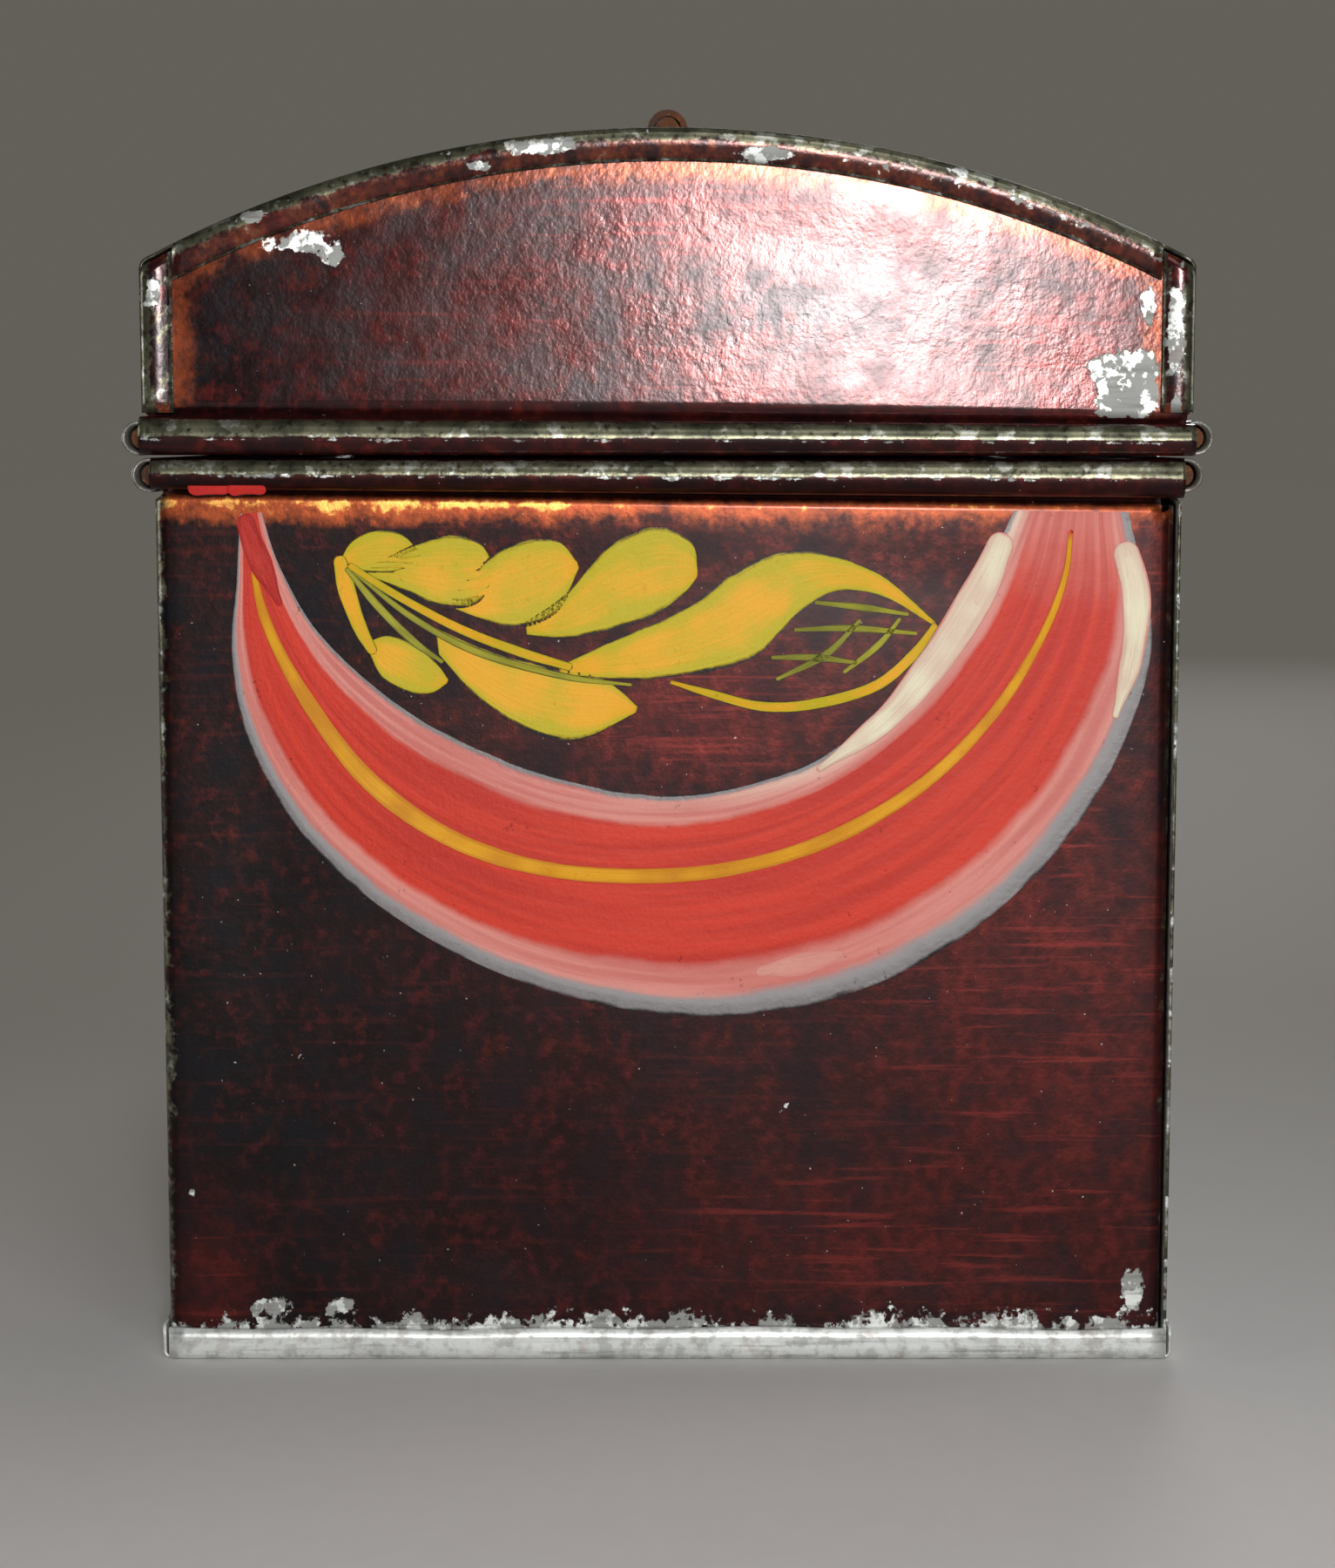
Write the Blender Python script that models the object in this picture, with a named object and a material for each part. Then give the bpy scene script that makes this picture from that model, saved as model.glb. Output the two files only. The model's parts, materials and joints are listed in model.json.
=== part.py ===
"""A dome-top document box in japanned tinplate, with a wired rim, strap hinges, a hasp and a bail.

The body is two L-shaped sheets lapped at opposite corners, standing in a flanged bottom pan. The lid is
one domed sheet folded down over two flat end panels. Every rim is rolled outwards round a wire. The lid
turns on its own rear rim wire, which two strap hinges on the body's back loop round. A hasp hangs from
the front of the lid over a wire staple, and a wire bail turns in two ears on top.

+X runs along the box, -Y is the front with the hasp, +Z is up. The origin is the middle of the underside.
"""

from math import acos, asin, cos, degrees, pi, radians, sin, sqrt, tan

import bmesh
import bpy
from mathutils import Matrix, Vector

MM = 0.001

# Overall sizes.
BODY_LENGTH = 222.0 * MM  # over the end walls
BODY_DEPTH = 118.6 * MM  # over the front and back walls
BODY_HEIGHT = 106.6 * MM  # ground to the top of the body's rolled rim
LID_OVERHANG = 1.1 * MM  # how far the lid's walls stand outside the body's
SKIRT_HEIGHT = 22.1 * MM  # underside of the lid's rolled rim to the shoulder
DOME_RISE = 15.0 * MM  # shoulder to the top of the dome

# Sheet, rims and corners.
SHEET = 0.4 * MM  # thickness of the tinplate
FIT_GAP = 0.3 * MM  # clearance between pieces that touch or are soldered
RIM_WIRE_RADIUS = 1.3 * MM
ROLL_SWEEP = radians(305)  # how far a rim's sheet curls round its wire
NECK_DEPTH = 0.8 * MM  # the groove beside a roll steps in this far
NECK_HEIGHT = 0.8 * MM
NECK_CLEARANCE = 0.1 * MM  # from the roll's outside to the groove's nearer edge
ROLL_SETBACK = 2.0 * MM  # the front and back rolls stop this far short of the end walls
WIRE_RECESS = 2.5 * MM  # the long wires lie this far inside their rolls' ends
CORNER_RADIUS = 1.6 * MM  # outside radius of the body's upright corners
BEND_RADIUS = 0.8 * MM  # outside radius of a folded flange
SEAM_LAP = 6.0 * MM  # width of the soldered lap inside a body corner
PAN_FLANGE = 4.1 * MM  # height of the bottom pan's upturned edge

# The lid's folded end bands.
BAND_WIDTH = 3.8 * MM
BAND_SLIT = 0.6 * MM  # between the upright band and the arched one, at each shoulder
SHOULDER_RADIUS = 1.5 * MM

# Strap hinges.
HINGE_OFFSET = 62.0 * MM  # middle of each strap from the middle of the box
HINGE_WIDTH = 16.0 * MM
STRAP = 0.5 * MM  # thickness of the straps, the hasp and the staple's plate
HINGE_DROP = 25.0 * MM  # lid wire to the strap's lower end
HINGE_SIDE_CLEARANCE = 0.8 * MM

# Hasp, its leaf on the lid and the staple on the body.
HASP_WIDTH = 16.0 * MM
HASP_LENGTH = 33.0 * MM  # hinge pin to the rounded end
HASP_LEAN = radians(14)  # from plumb, where the hasp lies in front of the staple's nose
HASP_PIN_RADIUS = 0.9 * MM
HASP_PIN_LIFT = 7.9 * MM  # hinge pin above the underside of the lid's rim
HASP_ROLL_CLEARANCE = 0.4 * MM  # between the lid's roll and the hasp when it hangs plumb
CENTRE_KNUCKLE = 7.4 * MM
KNUCKLE_GAP = 0.6 * MM
LEAF_HEIGHT = 11.0 * MM
SLOT_CLEARANCE = 0.75 * MM  # all round the staple
STAPLE_WIRE_RADIUS = 1.0 * MM
STAPLE_EYE = 5.0 * MM  # clear height inside the staple
STAPLE_DROP = 22.4 * MM  # hinge pin to the middle of the staple
STAPLE_REACH = 9.2 * MM  # nose of the staple from the body's front
STAPLE_PLATE = (14.0 * MM, 18.0 * MM)

# Bail handle and its two ears.
BAIL_WIRE_RADIUS = 1.6 * MM
BAIL_REACH = 30.0 * MM  # pivot to the middle of the grip
BAIL_CORNER = 9.0 * MM
EAR_OFFSET = 45.0 * MM  # middle of each ear from the middle of the box
EAR_WIDTH = 5.0 * MM
EAR_SHEET = 0.8 * MM
EAR_LIFT = 5.85 * MM  # pivot above the top of the dome
EAR_FOOT = 8.0 * MM  # middle of the ear to the end of a foot

# Fineness of the curves.
ROLL_STEPS = 10
BEND_STEPS = 3
DOME_STEPS = 24
WIRE_SIDES = 12

# Worked out from the sizes above.
ROLL_BORE = RIM_WIRE_RADIUS + FIT_GAP
ROLL_RADIUS = ROLL_BORE + SHEET
ROLL_OUT = ROLL_BORE - NECK_DEPTH  # roll's middle outside its wall's outer face
NECK_NEAR = ROLL_RADIUS + NECK_CLEARANCE
NECK_FAR = NECK_NEAR + NECK_HEIGHT
BODY_END = BODY_LENGTH / 2
BODY_SIDE = BODY_DEPTH / 2
BODY_ROLL_Z = BODY_HEIGHT - ROLL_RADIUS
WALL_FOOT_Z = SHEET + FIT_GAP
WALL_TOP_Z = BODY_ROLL_Z - NECK_FAR
LID_END = BODY_END + LID_OVERHANG
LID_SIDE = BODY_SIDE + LID_OVERHANG
LID_FOOT_Z = BODY_HEIGHT + FIT_GAP
LID_ROLL_Z = LID_FOOT_Z + ROLL_RADIUS
SHOULDER_Z = LID_FOOT_Z + SKIRT_HEIGHT
DOME_TOP_Z = SHOULDER_Z + DOME_RISE
DOME_RADIUS = (LID_SIDE**2 + DOME_RISE**2) / (2 * DOME_RISE)
DOME_CENTRE_Z = DOME_TOP_Z - DOME_RADIUS
ROLL_END = BODY_END - ROLL_SETBACK
LID_PANEL = LID_END - SHEET - FIT_GAP  # outer face of a lid end panel
HINGE_Y = LID_SIDE + ROLL_OUT
STRAP_BORE = RIM_WIRE_RADIUS + FIT_GAP
KNUCKLE_BORE = HASP_PIN_RADIUS + FIT_GAP
HASP_BACK_Y = -(LID_SIDE + ROLL_OUT + ROLL_RADIUS + HASP_ROLL_CLEARANCE)  # hanging plumb
HASP_PIN_Y = HASP_BACK_Y + KNUCKLE_BORE
HASP_PIN_Z = LID_FOOT_Z + HASP_PIN_LIFT
BAIL_PIVOT_Z = DOME_TOP_Z + EAR_LIFT


def clear_scene():
    for thing in list(bpy.data.objects):
        bpy.data.objects.remove(thing, do_unlink=True)


def finish(name, colour, roughness, metallic):
    """A plain Principled material."""
    material = bpy.data.materials.new(name)
    material.use_nodes = True
    shader = material.node_tree.nodes["Principled BSDF"]
    shader.inputs["Base Color"].default_value = (*colour, 1.0)
    shader.inputs["Roughness"].default_value = roughness
    shader.inputs["Metallic"].default_value = metallic
    return material


def pivot(name, y, z, parent=None):
    """An empty on a joint's axis."""
    empty = bpy.data.objects.new(name, None)
    bpy.context.collection.objects.link(empty)
    empty.location = (0, y, z)
    if parent:
        attach(empty, parent)
    return empty


def attach(thing, parent):
    """Parents an object whose location is still in world coordinates."""
    bpy.context.view_layer.update()
    thing.parent = parent
    thing.matrix_parent_inverse = parent.matrix_world.inverted()


def arc(middle, radius, start, sweep, steps):
    """Points along an arc in a plane, both ends included."""
    angles = [start + sweep * k / steps for k in range(steps + 1)]
    return [(middle[0] + radius * cos(a), middle[1] + radius * sin(a)) for a in angles]


def rounded(points, radius, steps=4):
    """A line through the points, with each corner between them turned to the radius."""
    points = [Vector(p) for p in points]
    line = [points[0]]
    for before, corner, after in zip(points, points[1:], points[2:]):
        into = (corner - before).normalized()
        away = (after - corner).normalized()
        turn = acos(max(-1.0, min(1.0, into.dot(away))))
        if turn < radians(1):
            line.append(corner)
            continue
        back = radius * tan(turn / 2)
        middle = corner + (away - into).normalized() * (radius / cos(turn / 2))
        start = corner - into * back - middle
        end = corner + away * back - middle
        for k in range(steps + 1):
            share = k / steps
            weights = sin((1 - share) * turn) / sin(turn), sin(share * turn) / sin(turn)
            line.append(middle + start * weights[0] + end * weights[1])
    return [*line, points[-1]]


def folded_sheet(name, columns, rows, point, keep, material, thickness=SHEET, side=-1.0):
    """A piece of sheet metal: a grid of points with some cells left out, thickened to one side.

    side is -1 where the points lie on the face that the grid's normals leave, and 0 where they lie in
    the middle of the sheet.
    """
    grid = bmesh.new()
    made = {}

    def corner(i, j):
        if (i, j) not in made:
            made[i, j] = grid.verts.new(point(i, j))
        return made[i, j]

    for i in range(columns - 1):
        for j in range(rows - 1):
            if keep(i, j):
                ring = (i, j), (i + 1, j), (i + 1, j + 1), (i, j + 1)
                grid.faces.new([corner(*at) for at in ring])
    mesh = bpy.data.meshes.new(name)
    grid.to_mesh(mesh)
    grid.free()
    sheet = bpy.data.objects.new(name, mesh)
    bpy.context.collection.objects.link(sheet)
    mesh.materials.append(material)
    solid = sheet.modifiers.new("thickness", "SOLIDIFY")
    solid.thickness = thickness
    solid.offset = side
    solid.use_even_offset = True
    mesh.shade_smooth()
    mesh.set_sharp_from_angle(angle=radians(40))
    return sheet


def rod(name, middle, axis, length, radius, material):
    """A straight piece of round wire."""
    turn = Vector((0, 0, 1)).rotation_difference(Vector(axis)).to_matrix().to_4x4()
    shape = bmesh.new()
    bmesh.ops.create_cone(
        shape, cap_ends=True, segments=WIRE_SIDES, radius1=radius, radius2=radius, depth=length
    )
    mesh = bpy.data.meshes.new(name)
    shape.to_mesh(mesh)
    shape.free()
    mesh.materials.append(material)
    mesh.shade_smooth()
    mesh.set_sharp_from_angle(angle=radians(40))
    wire = bpy.data.objects.new(name, mesh)
    bpy.context.collection.objects.link(wire)
    wire.matrix_world = Matrix.Translation(middle) @ turn
    return wire


def bent_wire(name, points, radius, material):
    """Round wire along a line of points, with closed ends."""
    curve = bpy.data.curves.new(name, "CURVE")
    curve.dimensions = "3D"
    curve.bevel_depth = radius
    curve.bevel_resolution = WIRE_SIDES // 4 - 1
    curve.use_fill_caps = True
    spline = curve.splines.new("POLY")
    spline.points.add(len(points) - 1)
    for knot, place in zip(spline.points, points):
        knot.co = (*place, 1.0)
    curve.materials.append(material)
    wire = bpy.data.objects.new(name, curve)
    bpy.context.collection.objects.link(wire)
    return wire


def plate(name, middle, width, height, thickness, clip, material):
    """A flat eight-sided plate facing the front, with clipped corners."""
    half_w = width / 2
    half_h = height / 2
    quarter = [(half_w, half_h - clip), (half_w - clip, half_h)]
    outline = [(x, z) for x, z in quarter]
    outline += [(-x, z) for x, z in reversed(quarter)]
    outline += [(-x, -z) for x, z in quarter]
    outline += [(x, -z) for x, z in reversed(quarter)]
    shape = bmesh.new()
    front = shape.faces.new([shape.verts.new((x, -thickness / 2, z)) for x, z in outline])
    grown = bmesh.ops.extrude_face_region(shape, geom=[front])["geom"]
    moved = [g for g in grown if isinstance(g, bmesh.types.BMVert)]
    bmesh.ops.translate(shape, verts=moved, vec=(0, thickness, 0))
    bmesh.ops.recalc_face_normals(shape, faces=shape.faces)
    mesh = bpy.data.meshes.new(name)
    shape.to_mesh(mesh)
    shape.free()
    mesh.materials.append(material)
    made = bpy.data.objects.new(name, mesh)
    bpy.context.collection.objects.link(made)
    made.location = middle
    return made


def rim_profile(roll_z, upwards):
    """(outward, height) of a wall's outer face through its groove and round its roll.

    The first point is the groove's far edge. upwards is 1 where the wall rises to the roll, as on the
    body, and -1 where it comes down to it, as on the lid.
    """
    groove = [(0.0, -NECK_FAR), (-NECK_DEPTH, -NECK_NEAR)]
    roll = arc((ROLL_OUT, 0.0), ROLL_BORE, pi, -ROLL_SWEEP, ROLL_STEPS)
    return [(out, roll_z + upwards * rise) for out, rise in groove + roll]


def body_sheet(name, turn, material):
    """One wall, one corner and one end of the body, with the lap that goes inside the next corner.

    The sheet starts with a raw edge at the corner where the other sheet's lap lies inside it. turn is
    the angle about the vertical: 0 makes the front and the right end.
    """
    lap_y = BODY_SIDE - SHEET - FIT_GAP
    along = [(-BODY_END, "edge"), (-ROLL_END, "wall"), (ROLL_END, "edge")]
    stations = [(Vector((x, -BODY_SIDE)), Vector((0, -1)), zone) for x, zone in along]
    corners = (
        (-BODY_SIDE + CORNER_RADIUS, -pi / 2, "corner", -BODY_SIDE, -BODY_SIDE + CORNER_RADIUS),
        (lap_y - CORNER_RADIUS, 0.0, "turn", lap_y - CORNER_RADIUS, BODY_SIDE),
    )
    straight = {}  # where the end's roll runs on, straight past a corner
    for middle_y, start, zone, first, last in corners:
        middle = Vector((BODY_END - CORNER_RADIUS, middle_y))
        for k in range(BEND_STEPS + 1):
            angle = start + pi / 2 * k / BEND_STEPS
            normal = Vector((cos(angle), sin(angle)))
            straight[len(stations)] = first + (last - first) * k / BEND_STEPS
            last_one = k == BEND_STEPS
            after = {"corner": "end", "turn": "lap"}[zone] if last_one else zone
            stations.append((middle + normal * CORNER_RADIUS, normal, after))
    lap_x = BODY_END - CORNER_RADIUS - SEAM_LAP
    stations.append((Vector((lap_x, lap_y)), Vector((0, 1)), "lap"))

    levels = [(0.0, WALL_FOOT_Z), (0.0, WALL_TOP_Z - 2 * FIT_GAP)] + rim_profile(BODY_ROLL_Z, 1)
    lap_top, wall_top, roll_foot = 1, 2, 4
    turned = Matrix.Rotation(turn, 3, "Z")

    def point(i, j):
        place, normal, _ = stations[i]
        out, z = levels[j]
        if j >= roll_foot and i in straight:
            place, normal = Vector((BODY_END, straight[i])), Vector((1, 0))
        flat = place + normal * out
        return turned @ Vector((flat.x, flat.y, z))

    def keep(i, j):
        zone = stations[i][2]
        if zone == "lap" or (zone == "turn" and j < roll_foot):
            return j < lap_top
        if zone == "edge" or (zone == "corner" and j < roll_foot):
            return j < wall_top
        return True

    return folded_sheet(name, len(stations), len(levels), point, keep, material)


def bottom_pan(material):
    """The bottom, with its four edges turned up outside the walls and open at the corners."""

    def edge_to_edge(half):
        side = [(half, PAN_FLANGE)]
        side += arc((half - BEND_RADIUS, BEND_RADIUS), BEND_RADIUS, 0.0, -pi / 2, BEND_STEPS)
        return [(-reach, z) for reach, z in side] + side[::-1]

    across = edge_to_edge(BODY_SIDE + FIT_GAP + SHEET)
    along = edge_to_edge(BODY_END + FIT_GAP + SHEET)
    floor = BEND_STEPS + 1

    def point(i, j):
        return Vector((along[j][0], across[i][0], across[i][1] + along[j][1]))

    def keep(i, j):
        return floor in (i, j)

    return folded_sheet("bottom_pan", len(across), len(along), point, keep, material)


def dome_line():
    """(y, z, inward direction) over the lid's outer face, from the front skirt's foot to the back's."""
    slit_y = LID_SIDE - BAND_WIDTH - BAND_SLIT
    slit_angle = asin(slit_y / DOME_RADIUS)
    top = arc((0, DOME_CENTRE_Z), DOME_RADIUS, pi / 2 + slit_angle, -2 * slit_angle, DOME_STEPS)
    skirt_foot = (-LID_SIDE, LID_ROLL_Z + NECK_FAR)
    shoulder = rounded([skirt_foot, (-LID_SIDE, SHOULDER_Z), top[0]], SHOULDER_RADIUS)
    front = [(p[0], p[1]) for p in shoulder[:-1]]
    slope = asin(LID_SIDE / DOME_RADIUS)
    line = []
    for k, (y, z) in enumerate(front):
        inward = Vector((1, tan(slope) if k == 1 else 0))
        line.append((y, z, inward, "skirt" if k == 0 else "shoulder"))
    for y, z in top:
        inward = (Vector((0, DOME_CENTRE_Z)) - Vector((y, z))).normalized()
        line.append((y, z, inward, "dome"))
    back = [(-y, z, Vector((-i.x, i.y)), zone) for y, z, i, zone in reversed(line[: len(front)])]
    return line, back


def lid_dome(material):
    """Front skirt, dome and back skirt in one sheet, with bands folded down over both end panels."""
    front_and_dome, back = dome_line()
    rim = rim_profile(LID_ROLL_Z, -1)[1:]
    line = [(-LID_SIDE - out, z, Vector((1, 0)), "rim") for out, z in reversed(rim)]
    line += front_and_dome + back
    line += [(LID_SIDE + out, z, Vector((-1, 0)), "rim") for out, z in rim]
    zones = [entry[3] for entry in line]

    notch = HINGE_WIDTH / 2 + HINGE_SIDE_CLEARANCE
    half = [HINGE_OFFSET - notch, HINGE_OFFSET + notch, ROLL_END]
    fold = arc((LID_END - BEND_RADIUS, BEND_RADIUS), BEND_RADIUS, -pi / 2, pi / 2, BEND_STEPS)
    half = [(x, 0.0) for x in half] + fold + [(LID_END, BAND_WIDTH)]
    stations = [(-x, inset) for x, inset in reversed(half)] + half
    plain, last = len(fold) + 1, len(stations) - 1

    def point(i, j):
        x, inset = stations[i]
        y, z, inward, _ = line[j]
        return Vector((x, y + inward.x * inset, z + inward.y * inset))

    def keep(i, j):
        zone = {zones[j], zones[j + 1]}
        in_band = i < plain - 1 or i >= last - plain + 1
        past_roll = i < plain or i >= last - plain
        if "rim" in zone:
            behind = j > len(line) // 2
            notched = behind and i in (plain + 1, last - plain - 2)
            return not past_roll and not notched
        if zone == {"shoulder"} or zone == {"shoulder", "dome"}:
            return not in_band
        return True

    return folded_sheet("lid_dome", len(stations), len(line), point, keep, material)


def lid_end(name, turn, material):
    """A flat end panel of the lid, arched on top, with its rolled rim running the lid's full depth."""
    fit_y = LID_SIDE - SHEET - FIT_GAP
    inside = DOME_RADIUS - SHEET - FIT_GAP
    slope = asin(fit_y / inside)
    spots = [inside * sin(slope * (2 * k / DOME_STEPS - 1)) for k in range(DOME_STEPS + 1)]
    across = [-LID_SIDE, *spots, LID_SIDE]
    levels = rim_profile(LID_ROLL_Z, -1)[::-1]
    groove = len(levels) - 1
    turned = Matrix.Rotation(turn, 3, "Z")

    def point(i, j):
        y = across[i]
        if j > groove:
            top = DOME_CENTRE_Z + sqrt(inside**2 - y**2)
            clipped = SHOULDER_RADIUS / 2 if abs(y) >= fit_y - FIT_GAP else 0.0
            return turned @ Vector((LID_PANEL, y, top - clipped))
        out, z = levels[j]
        return turned @ Vector((LID_PANEL + out, y, z))

    def keep(i, j):
        return j < groove - 2 or 0 < i < len(across) - 2

    return folded_sheet(name, len(across), len(levels) + 1, point, keep, material)


def hinge_strap(name, x, material):
    """A strap that loops round the lid's rear wire, passes outside the body's roll and lies on the back."""
    middle_radius = STRAP_BORE + STRAP / 2
    loop = arc((HINGE_Y, LID_ROLL_Z), middle_radius, radians(215), -radians(215), ROLL_STEPS)
    on_back = BODY_SIDE + FIT_GAP + STRAP / 2
    off_roll_z = BODY_ROLL_Z - 0.3 * ROLL_RADIUS
    landing_z = off_roll_z - (loop[-1][0] - on_back) * 1.7
    foot_z = LID_ROLL_Z - HINGE_DROP
    tail = [loop[-1], (loop[-1][0], off_roll_z), (on_back, landing_z), (on_back, foot_z)]
    tail = [(p[0], p[1]) for p in rounded(tail, 2 * STRAP, BEND_STEPS)]
    tip = HINGE_WIDTH / 4
    line = loop + tail[1:-1] + [(on_back, foot_z + tip), (on_back, foot_z)]
    widths = [HINGE_WIDTH] * (len(line) - 1) + [HINGE_WIDTH - 2 * tip]

    def point(i, j):
        y, z = line[j]
        return Vector((x + widths[j] * (i - 0.5), y, z))

    return folded_sheet(
        name, 2, len(line), point, lambda i, j: True, material, thickness=STRAP, side=0.0
    )


def hasp_leaf(material):
    """The part of the hasp's hinge that is soldered to the lid, with the middle knuckle."""
    middle_radius = KNUCKLE_BORE + STRAP / 2
    curl = arc((0, 0), middle_radius, 0.0, -ROLL_SWEEP, ROLL_STEPS)[::-1]
    knuckle_top = KNUCKLE_BORE + STRAP + FIT_GAP
    on_lid = -(LID_SIDE + FIT_GAP + STRAP / 2) - HASP_PIN_Y
    shoulder = LEAF_HEIGHT - 2 * MM
    line = curl + [(middle_radius, knuckle_top), (on_lid, shoulder), (on_lid, LEAF_HEIGHT)]
    half = HASP_WIDTH / 2
    across = [-half, -CENTRE_KNUCKLE / 2, CENTRE_KNUCKLE / 2, half]

    def point(i, j):
        y, z = line[j]
        narrow = 0.7 if j == len(line) - 1 else 1.0
        return Vector((across[i] * narrow, HASP_PIN_Y + y, HASP_PIN_Z + z))

    def keep(i, j):
        return i == 1 or j > len(curl) - 1

    return folded_sheet(
        "hasp_leaf", len(across), len(line), point, keep, material, thickness=STRAP, side=0.0
    )


def hasp(material):
    """The hasp: two knuckles, a slot for the staple, and a rounded end with its lip turned out.

    It is drawn hanging plumb from its pin, then leaned out.
    """
    middle_radius = KNUCKLE_BORE + STRAP / 2
    curl = arc((0, 0), middle_radius, pi - ROLL_SWEEP, ROLL_SWEEP, ROLL_STEPS)
    slot_half = STAPLE_WIRE_RADIUS + SLOT_CLEARANCE
    slot_rise = STAPLE_EYE / 2 + 2 * STAPLE_WIRE_RADIUS + SLOT_CLEARANCE
    knuckle_foot = KNUCKLE_BORE + STRAP + FIT_GAP
    slot_top = STAPLE_DROP - slot_rise
    slot_foot = STAPLE_DROP + slot_rise
    half = HASP_WIDTH / 2
    # (distance below the pin, share of the width, distance turned out)
    lower = [(knuckle_foot, 1.0, 0.0), (slot_top, 0.92, 0.0), (slot_foot, 0.84, 0.0)]
    end = HASP_LENGTH - slot_foot
    for k in range(1, 5):
        angle = pi / 2 * k / 4.6
        lower.append((slot_foot + end * sin(angle), 0.84 * cos(angle), 0.12 * end * (1 - cos(angle))))
    line = [(y, z, 1.0) for y, z in curl]
    line += [(-middle_radius - out, -down, share) for down, share, out in lower]
    across = [-half, -CENTRE_KNUCKLE / 2 - KNUCKLE_GAP, -slot_half, slot_half]
    across += [CENTRE_KNUCKLE / 2 + KNUCKLE_GAP, half]
    slot_row = len(curl) + 1

    def point(i, j):
        y, z, share = line[j]
        x = across[i]
        outer = i in (0, len(across) - 1)
        if j > len(curl):
            inner_share = share if j > slot_row + 1 else 1.0
            x *= share if outer else inner_share
        return Vector((x, y, z))

    def keep(i, j):
        if j < len(curl):
            return i in (0, 4)
        return not (i == 2 and j == slot_row)

    made = folded_sheet(
        "hasp", len(across), len(line), point, keep, material, thickness=STRAP, side=0.0
    )
    made.location = (0, HASP_PIN_Y, HASP_PIN_Z)
    made.rotation_euler.x = -HASP_LEAN
    return made


def staple(material):
    """A U of wire, standing out of its plate for the hasp to drop over."""
    bend = STAPLE_EYE / 2 + STAPLE_WIRE_RADIUS
    middle_z = HASP_PIN_Z - STAPLE_DROP
    foot_y = -(BODY_SIDE + 2 * FIT_GAP + STRAP)
    bend_y = -(BODY_SIDE + STAPLE_REACH - STAPLE_WIRE_RADIUS - bend)
    nose = arc((bend_y, middle_z), bend, pi / 2, pi, 8)
    line = [(foot_y, middle_z + bend), *nose, (foot_y, middle_z - bend)]
    return bent_wire("staple", [(0, y, z) for y, z in line], STAPLE_WIRE_RADIUS, material)


def bail_ear(name, x, material):
    """A strap bent into a loop for the bail's wire, with a foot each side on the dome."""
    middle_radius = BAIL_WIRE_RADIUS + FIT_GAP + EAR_SHEET / 2
    foot_z = DOME_TOP_Z + FIT_GAP + EAR_SHEET / 2
    open_angle = radians(20)
    loop = arc(
        (0, BAIL_PIVOT_Z), middle_radius, 1.5 * pi - open_angle, -2 * (pi - open_angle), 16
    )
    drop = DOME_RADIUS - sqrt(DOME_RADIUS**2 - EAR_FOOT**2)
    toe = EAR_FOOT / 4
    leg = [(-EAR_FOOT, foot_z - drop), (-2 * EAR_SHEET, foot_z), loop[0]]
    leg = [(p[0], p[1]) for p in rounded(leg, EAR_SHEET, BEND_STEPS)][:-1]
    leg.insert(1, (-EAR_FOOT + toe, foot_z - drop * (1 - toe / EAR_FOOT) ** 2))
    line = leg + loop + [(-y, z) for y, z in reversed(leg)]
    last = len(line) - 1

    def point(i, j):
        y, z = line[j]
        width = EAR_WIDTH * (0.5 if j in (0, last) else 1.0)
        return Vector((x + width * (i - 0.5), y, z))

    return folded_sheet(
        name, 2, len(line), point, lambda i, j: True, material, thickness=EAR_SHEET, side=0.0
    )


def bail_lean():
    """How far below level the bail lies when its grip rests on the dome."""
    to_pivot = DOME_RADIUS + EAR_LIFT
    to_grip = DOME_RADIUS + FIT_GAP + BAIL_WIRE_RADIUS
    from_plumb = acos((to_pivot**2 + BAIL_REACH**2 - to_grip**2) / (2 * to_pivot * BAIL_REACH))
    return pi / 2 - from_plumb


def bail(material):
    """The bail, drawn level towards the front from its pivot, then let down on the dome."""
    arm = EAR_OFFSET - EAR_WIDTH / 2 - FIT_GAP - 2 * BAIL_WIRE_RADIUS
    end = EAR_OFFSET + EAR_WIDTH / 2 + 2 * MM
    corner = 1.5 * BAIL_WIRE_RADIUS
    pin = rounded([(end, 0, 0), (arm, 0, 0), (arm, -BAIL_REACH / 2, 0)], corner, 5)[:-1]
    grip = rounded([(arm, -BAIL_REACH / 2, 0), (arm, -BAIL_REACH, 0), (0, -BAIL_REACH, 0)], BAIL_CORNER, 6)
    half = [tuple(p) for p in pin + grip[:-1]]
    line = half + [(-x, y, z) for x, y, z in reversed(half)]
    made = bent_wire("bail", line, BAIL_WIRE_RADIUS, material)
    made.location = (0, 0, BAIL_PIVOT_Z)
    made.rotation_euler.x = bail_lean()
    return made


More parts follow.
